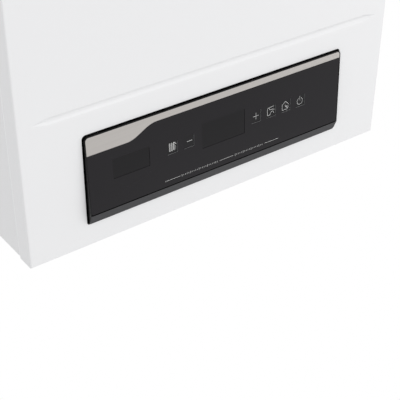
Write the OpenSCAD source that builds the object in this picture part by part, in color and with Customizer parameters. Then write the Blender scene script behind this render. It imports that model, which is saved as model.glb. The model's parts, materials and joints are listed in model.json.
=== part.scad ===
/* [Casing] */
// Width of the casing
case_w = 400; // [390:1:440]
// Height of the casing
case_h = 701; // [690:1:760]
// Depth of the casing, from the wall to the cover's front face
case_d = 300; // [296:1:330]
// Thickness of the painted sheet of the cover and the sides
sheet_t = 1; // [0.8:0.1:1.2]
// Thickness of the galvanised sheet of the frame
frame_t = 1.5; // [1.2:0.1:2]
// Depth of the return flange round the front cover
cover_flange = 19; // [16:1:24]
// Outer radius of the cover's folded front edges
cover_edge_r = 1.5; // [1.3:0.1:3]
// Gap between the cover's flange and the side panels
seam = 0.6; // [0.5:0.1:1.6]
// Outer radius of the side panels' folded front edge
side_fold_r = 1.6; // [1.2:0.1:2]
// Gap between the cover's flanges and the plates beneath them
cover_gap = 0.4; // [0.3:0.1:0.8]
// Height of the side panels' lower edge above the cover's
side_rise = 2; // [0.4:0.1:3]
// Distance from the top of the casing down to the wall screws
hang_drop = 40; // [36:1:48]
// Recess behind the back plate for the wall bracket
wall_recess = 10; // [9:0.5:14]

/* [Cover details] */
// Length of the pressed bead across the cover
bead_len = 375; // [340:1:380]
// Width of the pressed bead
bead_w = 6.4; // [5:0.1:9]
// Width of the bead's floor
bead_floor = 2.2; // [1:0.1:3]
// Depth of the bead
bead_depth = 1.4; // [0.8:0.1:2]
// Length of the bead's pointed ends
bead_tip = 16; // [10:1:24]
// Height of the bead's middle above the cover's lower edge
bead_up = 133; // [122:1:150]
// Width of each hook at the top of the cover
hook_w = 24; // [16:1:30]
// Depth of each hook below the cover's top flange
hook_drop = 8; // [6:0.5:10]
// Sideways place of the hooks
hook_x = 120; // [90:1:140]
// Radius of the captive cover screws
cover_screw_r = 2; // [1.5:0.1:2.5]
// Sideways place of the cover screws
cover_screw_x = 165; // [155:1:175]

/* [Control panel] */
// Width of the bezel
bezel_w = 284; // [270:1:300]
// Height of the bezel
bezel_h = 81.5; // [78:0.5:90]
// Height of the panel's lower edge above the cover's lower edge
bezel_up = 27; // [23:1:32]
// How far the bezel's upper edge stands out of the cover
proud_top = 2.3; // [1.5:0.1:4]
// How far the panel's lower edge stands out of the cover
proud_bottom = 5.8; // [4:0.1:9]
// Gap round the bezel in the cover's cut-out
bezel_gap = 1.2; // [1:0.1:2]
// Radius of the bezel's upper corners
bezel_top_r = 4; // [3:0.5:6]
// Radius of the bezel's lower corners
bezel_low_r = 2.5; // [2.2:0.1:6]
// Width of the bezel's rim at the sides and the top
rim = 0.8; // [0.6:0.1:1.5]
// Height of the fascia plate's lower edge above the panel's
lip_h = 6.7; // [5:0.1:9]
// Thickness of the glossy fascia plate
fascia_t = 2.2; // [1.8:0.1:3]
// Depth of the fascia's face below the bezel's rim
fascia_sink = 0.2; // [0.1:0.1:0.4]
// Thickness of the bezel's floor behind the fascia
floor_t = 1.6; // [1.4:0.1:2.5]
// Thickness of the inlaid metal trim
trim_t = 0.4; // [0.3:0.1:0.8]
// Height of the trim's thin right part
trim_thin = 6; // [4:0.5:8]
// Height of the trim's left part
trim_deep = 16.6; // [14:0.1:20]
// Height of the display window
display_h = 25; // [20:1:30]
// Width of the display window
display_w = 48.5; // [40:0.5:54]
// Height of the small status window
status_h = 19; // [14:1:24]
// Width of the small status window
status_w = 37.5; // [30:0.5:44]
// Depth of the windows' faces below the fascia
window_sink = 0.3; // [0.2:0.1:0.5]
// Width of a key cap
key_w = 11; // [9:0.5:13]
// Height of a key cap
key_h = 12; // [10:0.5:14]
// Distance between neighbouring keys
key_pitch = 18; // [17:0.5:20]
// Depth of the key caps' faces below the fascia
key_sink = 0.6; // [0.3:0.1:0.8]
// Clearance round a key cap
key_clear = 0.15; // [0.1:0.05:0.3]
// Travel of a key
key_travel = 0.8; // [0.5:0.1:1]

/* [Combustion circuit] */
// Width left between the sealed chamber and each side panel
chamber_side = 14; // [8:1:18]
// Height of the sealed chamber
chamber_h = 400; // [395:1:420]
// Width of the combustion stack
stack_w = 254; // [244:1:262]
// Height of the burner below the combustion box
burner_h = 68; // [64:1:74]
// Height of the heat exchanger's jacket
exchanger_h = 60; // [50:1:70]
// Thickness of the ceramic fibre boards
board_t = 12; // [8:1:15]
// Radius of the heat exchanger's water tubes
water_tube_r = 9; // [7:0.5:10]
// Distance between neighbouring water tubes
water_tube_pitch = 26; // [24:0.5:28]
// Thickness of a copper fin
fin_t = 0.8; // [0.5:0.1:1]
// Distance between neighbouring fins
fin_pitch = 6; // [5:0.5:8]
// Distance between neighbouring burner blades
blade_pitch = 16; // [15:0.5:18]
// Thickness of a burner blade's head
blade_head = 9; // [7:0.5:10]
// Radius of the gas manifold
manifold_r = 8; // [7:0.5:9]
// Outer radius of the fan wheel
wheel_r = 42; // [36:1:44]
// Width of the fan wheel
wheel_w = 30; // [24:1:34]
// Number of blades on the fan wheel
wheel_blades = 28; // [20:1:32]
// Radius of the fan's shaft
fan_shaft_r = 2.5; // [2:0.1:3]
// Running clearance of shafts in their bearings
run_clear = 0.05; // [0.03:0.01:0.08]
// Inner radius of the flue socket
flue_r = 30.3; // [29.5:0.1:31.5]
// Outer radius of the air spigot
air_r = 50; // [47:0.5:52]
// Height of the flue collar above its flange
collar_h = 36; // [30:1:50]

/* [Water circuit] */
// Diameter of the expansion vessel
vessel_dia = 320; // [300:1:324]
// Depth of the expansion vessel
vessel_d = 90; // [80:1:94]
// Wall of the expansion vessel
vessel_t = 1.5; // [1:0.1:2]
// Distance between neighbouring connections below the casing
stub_pitch = 65; // [62:0.5:66]
// Outer radius of the three quarter inch connections
big_thread_r = 13.2; // [12.8:0.1:13.6]
// Outer radius of the half inch connections
small_thread_r = 10.5; // [10:0.1:11]
// Length of the connections below their nuts
thread_len = 24; // [18:1:30]
// Distance of the connections from the wall
hyd_depth = 105; // [103:1:108]
// Outer radius of the copper heating pipes
pipe_r = 9; // [8:0.5:10]
// Centre-line radius of the pipe bends
pipe_bend = 14.5; // [13:0.5:15.5]
// Wall of the copper and gas pipes
pipe_wall = 1; // [0.8:0.1:1.5]
// Radius of the pump's motor
pump_motor_r = 45; // [38:1:47]
// Length of the pump's motor
pump_motor_l = 76; // [65:1:85]
// Length of the plate exchanger
plates_w = 190; // [186:1:196]
// Depth of the plate exchanger
plates_d = 74; // [70:1:76]
// Number of plates in the plate exchanger
plate_count = 14; // [10:1:16]
// Travel of the diverter valve's spindle
spindle_travel = 6; // [4:0.5:6]

/* [Hidden] */
$fn = 48;
eps = 0.01;

// Casing planes: the wall is y = 0, the front is towards -y, z = 0 is the wall screws' height
top_z = hang_drop;
bottom_z = top_z - case_h;
front_y = -case_d;
in_x = case_w / 2 - sheet_t;
cover_back_y = front_y + cover_flange;
side_front_y = cover_back_y + seam;
side_hem = 1.2;
plate_top = top_z - sheet_t - cover_gap;
plate_low = plate_top - frame_t;
tray_low = bottom_z + sheet_t + cover_gap;
tray_top = tray_low + frame_t;
plate_front_y = front_y + sheet_t + 1;
back_y = -wall_recess;
back_in_y = back_y - frame_t;

// Hinge line at the roots of the cover's hooks
hinge_y = cover_back_y - sheet_t / 2;
hinge_z = plate_top;

// Wall bracket and the frame's hanging holes
bracket_w = 320;
bracket_h = 40;
bracket_t = 3;
bracket_hole_r = 4.5;
bracket_hole_x = 130;
lug_w = 30;
lug_x = 80;
lug_z = 8;
lug_lip = 12;
hang_hole_w = 40;
hang_hole_h = 22;

// Control panel planes, with x, v up the tilted face and w out of it
bezel_z = bottom_z + bezel_up;
panel_tilt = atan((proud_bottom - proud_top) / bezel_h);
fascia_w = bezel_w - 2 * rim;
fascia_v0 = lip_h;
lip_top = lip_h - 0.9;
lip_proud = 1.6;
lip_z = bezel_z - 4.1;
lip_tilt = atan((proud_bottom - lip_proud - lip_top * sin(panel_tilt)) / (lip_top + bezel_z - lip_z));
fascia_v1 = bezel_h - rim;
fascia_face = -fascia_sink;
fascia_back = fascia_face - fascia_t;
floor_back = fascia_back - floor_t;
features_v = (fascia_v0 + fascia_v1) / 2;
trim_edge = 0.1;
display_x = 1;
status_x = -98.5;
key_x = [
    display_x - 2.15 * key_pitch - key_pitch, display_x - 2.15 * key_pitch,
    display_x + 2.1 * key_pitch, display_x + 3.1 * key_pitch,
    display_x + 4.1 * key_pitch, display_x + 5.1 * key_pitch
];
key_flange = 1.2;
key_flange_t = 1.2;
key_seat = 0.05;
switch_gap = key_travel + 0.1;
board_gap = 6;
board_front = floor_back - board_gap;
board_thick = 1.6;
board_w = 240;
board_h = 58;
board_v = features_v - board_h / 2;
board_post_x = board_w / 2 - 6;

// Control box
box_wall = 2;
box_front_y = front_y + 11;
box_depth = 64;
box_back_y = box_front_y + box_depth;
box_x = in_x - 2;
main_board_x = box_x - 47;
box_z0 = bezel_z - 6;
box_z1 = bezel_z + bezel_h + 4;

// Sealed chamber
chamber_t = 1;
chamber_x = in_x - chamber_side;
chamber_rear_y = back_in_y - vessel_d - 4;
chamber_in_y = chamber_rear_y - chamber_t;
chamber_front_y = front_y + 24;
chamber_z0 = plate_low - chamber_h;
chamber_floor = chamber_z0 + chamber_t;
chamber_lip = 12;
door_t = 1;

// Combustion stack, from the chamber's floor upwards
stack_gap = 4;
door_room = 13.5;
hood_slope_h = 24;
stack_x0 = -stack_w / 2;
stack_x1 = stack_w / 2;
stack_rear = chamber_in_y - stack_gap;
stack_front = chamber_front_y + door_room;
stack_d = stack_rear - stack_front;
stack_y = (stack_rear + stack_front) / 2;
burner_top = chamber_floor + burner_h;
fan_z = plate_low - wheel_r - 25.5;
hood_slope_top = fan_z - wheel_r - 34.5;
exchanger_top = hood_slope_top - hood_slope_h;
box_top = exchanger_top - exchanger_h;
burner_rear = stack_rear - board_t - 1;
burner_front = stack_front + board_t + 1;
burner_flange_t = 1.2;
blade_side = floor((stack_w / 2 - board_t - 14) / blade_pitch);
blade_x = [for (i = [-blade_side:blade_side]) i * blade_pitch];
venturi_z = chamber_floor + 24;
venturi_r = 6;
manifold_y = chamber_front_y + manifold_r + 2;
gas_pipe_r = 8;
manifold_x = blade_side * blade_pitch + 10;
electrode_x = [-46, -34, 40];

// Heat exchanger
tube_margin = 22;
tube_count = 2 * floor(((stack_d - tube_margin) / water_tube_pitch - 1) / 2) + 1;
tube_z = box_top + exchanger_h / 2;
tube_y = [for (i = [0:tube_count - 1]) stack_y + ((tube_count - 1) / 2 - i) * water_tube_pitch];
port_x = stack_x1 + 7;

// Flue hood, fan and collar
hood_t = 1;
throat_d = 36;
throat_y = stack_rear - throat_d;
fan_t = 1.2;
fan_w = 50;
fan_duct_w = 52;
scroll_r0 = wheel_r + 8;
scroll_r1 = wheel_r + 26;
fan_x = fan_duct_w / 2 - scroll_r1;
fan_rear_y = throat_y;
fan_front_y = fan_rear_y - fan_w;
flue_y = (fan_rear_y + fan_front_y) / 2;
fan_duct_top = plate_low - 15;
fan_inlet_r = wheel_r - 11;
motor_plate_r = wheel_r + 10;
motor_gap = 6;
motor_l = 34;
gasket_t = 2;
collar_plate_t = 1.5;
collar_t = 1.2;
collar_w = 140;
collar_z0 = plate_top + gasket_t;
collar_top = collar_z0 + collar_plate_t + collar_h;
socket_z0 = collar_z0 + 3;
air_hole_r = air_r - collar_t;
fan_spigot_r = flue_r - 0.8;

// Water circuit
hyd_y = -hyd_depth;
hyd_z = bottom_z + 42;
barrel_r = 17;
plates_z0 = hyd_z + barrel_r + 1;
plates_step = 3;
plates_y1 = back_in_y - 13.5;
plates_y0 = plates_y1 - plates_d;
plates_port_x = plates_w / 2 - 19;
plates_port_y = plates_y0 + 19;
plates_port_r = 10;
stub_top = hyd_z - 22;
shoulder_extra = 4.8;
nut_h = 8;
nut_low = tray_low - nut_h;
stub_low = nut_low - thread_len;
riser_x = 2 * stub_pitch + 20;
riser_top = hyd_z + 58;
diverter_r = 16;
diverter_x = plates_w / 2 + diverter_r + 4.5;
diverter_top = hyd_z + 43;
spindle_r = 3;
poppet_r = 8;
pump_x = 2 * stub_pitch - 10;
pump_r = 44;
pump_z = hyd_z + barrel_r + pump_r + 52;
pump_w = 36;
pump_front_y = hyd_y - pump_w / 2;
pump_rear_y = hyd_y + pump_w / 2;
pump_shaft_r = 4;
pump_port_top = pump_z + pump_r + 6;
impeller_r = 24;
bend_level = chamber_z0 - pipe_bend - 5;
vessel_z = top_z - 70 - vessel_dia / 2;
vessel_y = back_in_y - vessel_d / 2;
vessel_port_x = 40;
vessel_pipe_r = 5;
vessel_bend = 12;
vessel_level = pump_z + pump_r + 21;
relief_x = 2 * stub_pitch + 18;
relief_r = 13;
relief_l = 28;
relief_y = hyd_y - barrel_r - 3;
relief_out_y = relief_y - relief_l / 2;
fill_x = 1.5 * stub_pitch;
fill_y = hyd_y - 35;
fill_stem_r = 4;
gland_x = 32 - in_x;
gland_y = hyd_y - 92;
gland_r = 8;
cable_r = 3.6;
gas_valve_y = hyd_y - 45;
gas_step = stub_top + 30;
gas_valve_z0 = gas_step + 65;
gas_valve_z1 = gas_valve_z0 + 90;

cover_white = [0.93, 0.93, 0.93];
side_white = [0.84, 0.84, 0.85];
zinc = [0.72, 0.73, 0.75];
copper = [0.80, 0.45, 0.28];
brass = [0.80, 0.66, 0.36];
steel = [0.62, 0.63, 0.65];
dark = [0.17, 0.17, 0.18];

// Points of an arc about a centre
function arc(cx, cy, r, a0, a1, n = 6) =
    [for (i = [0:n]) [cx + r * cos(a0 + (a1 - a0) * i / n), cy + r * sin(a0 + (a1 - a0) * i / n)]];

// Outline of a rectangle with its own radii at the lower and the upper corners
function rounded(x0, y0, x1, y1, low, up) = concat(
    arc(x1 - low, y0 + low, low, -90, 0), arc(x1 - up, y1 - up, up, 0, 90),
    arc(x0 + up, y1 - up, up, 90, 180), arc(x0 + low, y0 + low, low, 180, 270)
);

function unit(v) = v / norm(v);

// A box between two values on each axis
module slab(x, y, z) {
    translate([min(x), min(y), min(z)])
        cube([abs(x[1] - x[0]), abs(y[1] - y[0]), abs(z[1] - z[0])]);
}

// A round bar from one point to another
module bar(a, b, r) {
    d = b - a;
    translate(a)
        rotate([0, acos(d[2] / norm(d)), atan2(d[1], d[0])])
            cylinder(h = norm(d), r = r);
}

// A plate in the x-z plane, from y0 towards the front
module upright(y0, thick) {
    translate([0, y0, 0])
        rotate([90, 0, 0])
            linear_extrude(thick)
                children();
}

// A quarter bend at point p, from direction a to direction b
module elbow(p, a, b, r, bend) {
    c = p - a * bend + b * bend;
    n = cross(a, b);
    multmatrix([
        [-b[0], a[0], n[0], c[0]],
        [-b[1], a[1], n[1], c[1]],
        [-b[2], a[2], n[2], c[2]],
        [0, 0, 0, 1]
    ])
        rotate_extrude(angle = 90)
            translate([bend, 0])
                circle(r);
}

// A pipe along square corners, each with a bend
module pipe_run(points, r, bend) {
    last = len(points) - 1;
    for (i = [0:last - 1]) {
        way = unit(points[i + 1] - points[i]);
        start = i == 0 ? points[i] : points[i] + way * bend;
        stop = i == last - 1 ? points[i + 1] : points[i + 1] - way * bend;
        bar(start, stop, r);
        if (i < last - 1) {
            elbow(points[i + 1], way, unit(points[i + 2] - points[i + 1]), r, bend);
        }
    }
}

// A hollow pipe along square corners, open at both ends
module pipe(points, r, bend) {
    last = len(points) - 1;
    reach = [for (i = [0:last])
        i == 0 ? points[0] + unit(points[0] - points[1]) :
        i == last ? points[last] + unit(points[last] - points[last - 1]) : points[i]];
    difference() {
        pipe_run(points, r, bend);
        pipe_run(reach, r - pipe_wall, bend);
    }
}

// Places what is drawn on the tilted control panel
module on_panel() {
    translate([0, front_y - proud_bottom, bezel_z])
        rotate([90 - panel_tilt, 0, 0])
            children();
}

// A layer of the control panel between two depths
module panel_layer(w0, w1) {
    on_panel()
        translate([0, 0, w0])
            linear_extrude(w1 - w0)
                children();
}

// Casing

module wall_bracket() {
    color(zinc) {
        difference() {
            slab([-bracket_w / 2, bracket_w / 2], [-bracket_t, 0], [-bracket_h / 2, bracket_h / 2]);
            for (side = [-1, 1]) {
                bar([side * bracket_hole_x, 1, 0], [side * bracket_hole_x, -bracket_t - 1, 0], bracket_hole_r);
            }
        }
        for (side = [-1, 1]) {
            x = [side * lug_x - lug_w / 2, side * lug_x + lug_w / 2];
            lip_y = back_in_y - 0.5;
            slab(x, [-bracket_t, lip_y - bracket_t], [lug_z, lug_z + bracket_t]);
            slab(x, [lip_y, lip_y - bracket_t], [lug_z + bracket_t, lug_z + bracket_t + lug_lip]);
        }
    }
}

module back_frame() {
    hole_top = lug_z + bracket_t;
    color(zinc)
        difference() {
            union() {
                slab([-in_x, in_x], [back_in_y, back_y], [tray_top, plate_low]);
                for (side = [-1, 1]) {
                    slab([side * in_x, side * (in_x - frame_t)], [back_y, 0], [tray_top, plate_low]);
                }
                for (z = [vessel_z + vessel_dia / 2 + 8, vessel_z - vessel_dia / 2 - 70]) {
                    slab([-in_x + 30, in_x - 30], [back_y, back_y + 3], [z - 3, z + 3]);
                }
            }
            for (side = [-1, 1]) {
                slab([side * lug_x - hang_hole_w / 2, side * lug_x + hang_hole_w / 2],
                    [back_in_y - 1, 0], [hole_top - hang_hole_h, hole_top]);
            }
        }
}

// Plan of a side panel with its front edge folded inwards
module side_plan(hem) {
    x = case_w / 2;
    r = side_fold_r;
    polygon(concat(
        [[in_x, 0], [in_x, side_front_y + sheet_t], [in_x - hem, side_front_y + sheet_t],
            [in_x - hem, side_front_y]],
        arc(x - r, side_front_y + r, r, 270, 360), [[x, 0]]
    ));
}

module side_panel(side) {
    color(side_white)
        mirror([side < 0 ? 1 : 0, 0, 0]) {
            translate([0, 0, bottom_z + side_rise])
                linear_extrude(case_h - side_rise)
                    side_plan(side_hem);
            translate([0, 0, box_z1 + 6])
                linear_extrude(plate_low - box_z1 - 6)
                    side_plan(12);
        }
}

module side_left() {
    side_panel(-1);
}

module side_right() {
    side_panel(1);
}

// Blank of the top plate and the bottom tray, notched for the side panels' folds
module plate_blank(z) {
    difference() {
        slab([-in_x, in_x], [plate_front_y, 0], z);
        for (side = [-1, 1]) {
            slab([side * (in_x - side_hem - 0.2), side * (in_x + 1)],
                [side_front_y - 0.2, side_front_y + sheet_t + 0.2], [z[0] - 1, z[1] + 1]);
        }
    }
}

module tray_hole(x, y, r) {
    translate([x, y, tray_low - 1])
        cylinder(h = frame_t + 2, r = r);
}

module top_plate() {
    color(zinc)
        difference() {
            plate_blank([plate_low, plate_top]);
            translate([0, flue_y, plate_low - 1])
                cylinder(h = frame_t + 2, r = air_hole_r);
            for (side = [-1, 1]) {
                slab([side * hook_x - hook_w / 2 - 1, side * hook_x + hook_w / 2 + 1],
                    [hinge_y - sheet_t / 2 - 3, hinge_y + sheet_t / 2 + cover_gap], [plate_low - 1, hinge_z + 1]);
            }
            collar_holes(plate_low - 1, frame_t + 2);
        }
}

module bottom_tray() {
    color(zinc)
        difference() {
            plate_blank([tray_low, tray_top]);
            for (i = [-2:2]) {
                tray_hole(i * stub_pitch, hyd_y, stub_radius(i) + 0.5);
            }
            tray_hole(fill_x, fill_y, fill_stem_r + 4);
            tray_hole(gland_x, gland_y, gland_r + 0.1);
            tray_hole(relief_x, relief_out_y, 8.5);
            for (side = [-1, 1]) {
                screw_y = cover_back_y - cover_flange / 2;
                tray_hole(side * cover_screw_x, screw_y, cover_screw_r + 0.4);
                slab([side * cover_screw_x - cover_screw_r - 0.4, side * cover_screw_x + cover_screw_r + 0.4],
                    [plate_front_y - 1, screw_y], [tray_low - 1, tray_top + 1]);
            }
        }
}

// Outline of the cover seen from above, open towards the wall
function cover_plan(inset) =
    let (r = cover_edge_r - inset, x = case_w / 2 - inset, y0 = front_y + inset)
        concat(
            [[x, cover_back_y + inset], [-x, cover_back_y + inset]],
            arc(-x + r, y0 + r, r, 180, 270), arc(x - r, y0 + r, r, 270, 360)
        );

// Outline of the cover seen from the side, as depth and height
function cover_side(inset) =
    let (r = cover_edge_r - inset, z0 = bottom_z + inset, z1 = top_z - inset, y0 = front_y + inset)
        concat(
            [[cover_back_y + inset, z0], [cover_back_y + inset, z1]],
            arc(y0 + r, z1 - r, r, 90, 180), arc(y0 + r, z0 + r, r, 180, 270)
        );

module cover_form(inset) {
    intersection() {
        translate([0, 0, bottom_z - 1])
            linear_extrude(case_h + 2)
                polygon(cover_plan(inset));
        translate([-case_w / 2 - 1, 0, 0])
            rotate([90, 0, 90])
                linear_extrude(case_w + 2)
                    polygon(cover_side(inset));
    }
}

// Half height of the bead's flank at a depth behind the cover's face
function bead_half(depth) = bead_w / 2 - (bead_w - bead_floor) / 2 * depth / bead_depth;

module bead_slice(depth, shift) {
    half = bead_half(depth);
    long = bead_len / 2 - (bead_w / 2 - half) * bead_tip / (bead_w / 2);
    point = bead_tip * half / (bead_w / 2);
    translate([0, front_y + depth + shift, bottom_z + bead_up])
        rotate([90, 0, 0])
            linear_extrude(eps)
                polygon([[-long, 0], [-long + point, -half], [long - point, -half],
                    [long, 0], [long - point, half], [-long + point, half]]);
}

module front_cover() {
    color(cover_white)
        difference() {
            union() {
                difference() {
                    cover_form(0);
                    cover_form(sheet_t);
                }
                hull() {
                    bead_slice(0, sheet_t / 2);
                    bead_slice(bead_depth, sheet_t);
                }
                for (side = [-1, 1]) {
                    slab([side * hook_x - hook_w / 2, side * hook_x + hook_w / 2],
                        [hinge_y - sheet_t / 2, hinge_y + sheet_t / 2], [top_z - hook_drop, top_z - sheet_t]);
                }
            }
            hull() {
                bead_slice(-0.5, 0);
                bead_slice(bead_depth, 0);
            }
            upright(front_y + sheet_t + 1, sheet_t + 2)
                polygon(rounded(
                    -bezel_w / 2 - bezel_gap, lip_z - bezel_gap,
                    bezel_w / 2 + bezel_gap, bezel_z + bezel_h + bezel_gap, bezel_low_r, bezel_top_r));
            for (side = [-1, 1]) {
                translate([side * cover_screw_x, cover_back_y - cover_flange / 2, bottom_z - 1])
                    cylinder(h = sheet_t + 2, r = cover_screw_r + 0.1);
            }
        }
}

module cover_screws() {
    color(steel)
        for (side = [-1, 1]) {
            translate([side * cover_screw_x, cover_back_y - cover_flange / 2, 0]) {
                translate([0, 0, bottom_z - 2.2])
                    cylinder(h = 2.2, r = cover_screw_r * 2);
                translate([0, 0, bottom_z])
                    cylinder(h = tray_top + 4 - bottom_z, r = cover_screw_r);
                translate([-4, -4, tray_top + 0.3])
                    cube([8, 8, 2.4]);
            }
        }
}

// Control panel

module fascia_outline(grow = 0, drop = 0) {
    polygon(rounded(
        -fascia_w / 2 - grow, fascia_v0 - grow - drop, fascia_w / 2 + grow, fascia_v1 + grow,
        2, bezel_top_r - rim));
}

module window_outline(x, w, h) {
    polygon(rounded(x - w / 2, features_v - h / 2, x + w / 2, features_v + h / 2, 1, 1));
}

module key_outline(i, grow = 0) {
    polygon(rounded(
        key_x[i] - key_w / 2 - grow, features_v - key_h / 2 - grow,
        key_x[i] + key_w / 2 + grow, features_v + key_h / 2 + grow, 0.8, 0.8));
}

// Trim: a deep left part, a wave, and a thin strip to the right
module trim_outline() {
    top = fascia_v1 - trim_edge;
    deep = top - trim_deep;
    thin = top - trim_thin;
    x0 = trim_edge - fascia_w / 2;
    wave_x = -102;
    wave_w = 31;
    polygon(concat(
        [[x0, deep]],
        [for (i = [0:14]) [
            wave_x + wave_w * i / 14,
            deep + (thin - deep) * (1 - cos(180 * i / 14)) / 2
        ]],
        [[-x0, thin], [-x0, top - 1.5], [-x0 - 1.5, top], [x0 + 1.5, top], [x0, top - 1.5]]
    ));
}

// The four posts that the display board is screwed to
module board_places() {
    on_panel()
        for (x = [-board_post_x, board_post_x], v = [board_v + 5, board_v + board_h - 5]) {
            translate([x, v, board_front])
                children();
        }
}

// What lies behind a face
module behind(face) {
    translate([-bezel_w, -bezel_h, -60])
        cube([2 * bezel_w, 3 * bezel_h, 60 + face]);
}

// The bezel's wedge, drawn in all round, with the panel's face and the lip's
module bezel_wedge(inset, rear_y, face) {
    intersection() {
        upright(rear_y, case_d)
            polygon(rounded(inset - bezel_w / 2, lip_z + inset, bezel_w / 2 - inset, bezel_z + bezel_h - inset,
                bezel_low_r - inset, bezel_top_r - inset));
        on_panel()
            behind(face);
        translate([0, front_y - lip_proud, lip_z])
            rotate([90 + lip_tilt, 0, 0])
                behind(face);
    }
}

// Cut-outs for the two windows and the six keys
module panel_openings(ledge) {
    window_outline(display_x, display_w - ledge, display_h - ledge);
    window_outline(status_x, status_w - ledge, status_h - ledge);
    for (i = [0:5]) {
        key_outline(i, key_clear);
    }
}

module fascia_bezel() {
    color(dark) {
        difference() {
            bezel_wedge(0, box_front_y, 0);
            panel_layer(fascia_back, 1)
                fascia_outline(0.1, lip_h - lip_top);
            bezel_wedge(2, box_front_y + 1, floor_back);
            panel_layer(floor_back - 1, fascia_back + 1)
                panel_openings(4);
        }
        board_places()
            cylinder(h = board_gap, r = 3);
    }
}

module fascia_plate() {
    color([0.14, 0.14, 0.15])
        difference() {
            panel_layer(fascia_back, fascia_face)
                fascia_outline();
            panel_layer(fascia_face - trim_t, fascia_face + 1)
                trim_outline();
            panel_layer(fascia_back - 1, fascia_face + 1)
                panel_openings(0);
        }
}

module wave_trim() {
    color([0.74, 0.72, 0.69])
        panel_layer(fascia_face - trim_t, fascia_face)
            trim_outline();
}

module lens(x, w, h) {
    color([0.12, 0.12, 0.13])
        panel_layer(fascia_back, fascia_face - window_sink)
            window_outline(x, w, h);
}

module display_lens() {
    lens(display_x, display_w, display_h);
}

module status_lens() {
    lens(status_x, status_w, status_h);
}

module key_cap(i) {
    flange_face = floor_back - key_seat;
    color([0.15, 0.15, 0.16]) {
        panel_layer(flange_face - eps, fascia_face - key_sink)
            key_outline(i);
        panel_layer(flange_face - key_flange_t, flange_face)
            key_outline(i, key_flange);
    }
}

module key_heating() {
    key_cap(0);
}

module key_minus() {
    key_cap(1);
}

module key_plus() {
    key_cap(2);
}

module key_water() {
    key_cap(3);
}

module key_home() {
    key_cap(4);
}

module key_power() {
    key_cap(5);
}

module display_board() {
    button_top = floor_back - key_seat - key_flange_t - switch_gap;
    color([0.10, 0.35, 0.18]) {
        difference() {
            panel_layer(board_front - board_thick, board_front)
                polygon(rounded(-board_w / 2, board_v, board_w / 2, board_v + board_h, 2, 2));
            board_places()
                translate([0, 0, -board_thick - 1])
                    cylinder(h = board_thick + 2, r = 1.6);
        }
        on_panel()
            for (i = [0:5]) {
                translate([key_x[i] - 3, features_v - 3, board_front])
                    cube([6, 6, button_top - 0.4 - board_front]);
                translate([key_x[i], features_v, board_front])
                    cylinder(h = button_top - board_front, r = 1.7);
            }
        panel_layer(board_front, floor_back) {
            window_outline(display_x, display_w - 6, display_h - 5);
            window_outline(status_x, status_w - 6, status_h - 5);
        }
    }
}

module control_box() {
    open_x = bezel_w / 2 - 4;
    color([0.30, 0.31, 0.33])
        difference() {
            union() {
                upright(box_back_y - box_wall, box_depth - box_wall)
                    polygon(rounded(-box_x, box_z0, box_x, box_z1, 4, 4));
                for (side = [-1, 1], z = [box_z0 + 12, box_z1 - 12]) {
                    bar([side * (box_x - 1), box_back_y - 20, z], [side * in_x, box_back_y - 20, z], 6);
                }
            }
            upright(box_back_y + 1, box_depth - box_wall + 1)
                polygon(rounded(-box_x + box_wall, box_z0 + box_wall, box_x - box_wall, box_z1 - box_wall, 2, 2));
            upright(box_back_y, box_depth + 2)
                polygon(rounded(-open_x, bezel_z + 4, open_x, bezel_z + bezel_h - 4, 3, 3));
        }
}

module control_lid() {
    color([0.26, 0.27, 0.29])
        difference() {
            upright(box_back_y, box_wall)
                polygon(rounded(-box_x, box_z0, box_x, box_z1, 4, 4));
            for (i = [-5:5]) {
                x = i * main_board_x / 5;
                upright(box_back_y + 1, box_wall + 2)
                    polygon(rounded(x - 8, box_z1 - 20, x + 8, box_z1 - 15, 2.4, 2.4));
            }
        }
}

module main_board() {
    board_y = box_back_y - box_wall - 6;
    face = board_y - board_thick;
    x1 = main_board_x;
    color([0.12, 0.33, 0.18]) {
        slab([-x1, x1], [face, board_y], [box_z0 + 10, box_z1 - 12]);
        for (x = [6 - x1, x1 - 6], z = [box_z0 + 15, box_z1 - 26]) {
            bar([x, board_y, z], [x, box_back_y - box_wall, z], 4);
        }
        slab([70, 118], [face - 30, face], [box_z0 + 26, box_z1 - 26]);
        for (x = [-10:24:40]) {
            slab([x, x + 16], [face - 16, face], [box_z0 + 20, box_z0 + 46]);
        }
        for (x = [-100, -74]) {
            bar([x, face, box_z0 + 50], [x, face - 26, box_z0 + 50], 9);
        }
        for (x = [-140:22:-30]) {
            slab([x, x + 18], [face - 11, face], [box_z0 + 13, box_z0 + 24]);
        }
    }
}

// Combustion circuit

module sealed_chamber() {
    flow_y = tube_y[tube_count - 1];
    color(zinc)
        difference() {
            union() {
                slab([-chamber_x, chamber_x], [chamber_front_y, chamber_rear_y], [chamber_z0, plate_low]);
                for (side = [-1, 1]) {
                    slab([side * chamber_x, side * in_x], [chamber_rear_y, chamber_rear_y - 16],
                        [chamber_z0 + 20, chamber_z0 + 21.5]);
                }
            }
            slab([-chamber_x + chamber_t, chamber_x - chamber_t], [chamber_front_y + chamber_t, chamber_in_y],
                [chamber_floor, plate_low + 1]);
            slab([-chamber_x + chamber_lip, chamber_x - chamber_lip], [chamber_front_y - 1, chamber_in_y],
                [chamber_floor + chamber_lip, plate_low + 1]);
            for (p = [[riser_x, tube_y[0]], [-riser_x, flow_y]]) {
                translate([p[0], p[1], chamber_z0 - 1])
                    cylinder(h = chamber_t + 2, r = pipe_r + 1);
            }
            translate([0, manifold_y, chamber_z0 - 1])
                cylinder(h = chamber_t + 2, r = gas_pipe_r + 0.5);
        }
}

module door_screw_places() {
    z0 = chamber_floor + 6;
    z1 = plate_low - 20;
    for (side = [-1, 1], i = [0:3]) {
        translate([side * (chamber_x - 6), chamber_front_y, z0 + (z1 - z0) * i / 3])
            children();
    }
}

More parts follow.
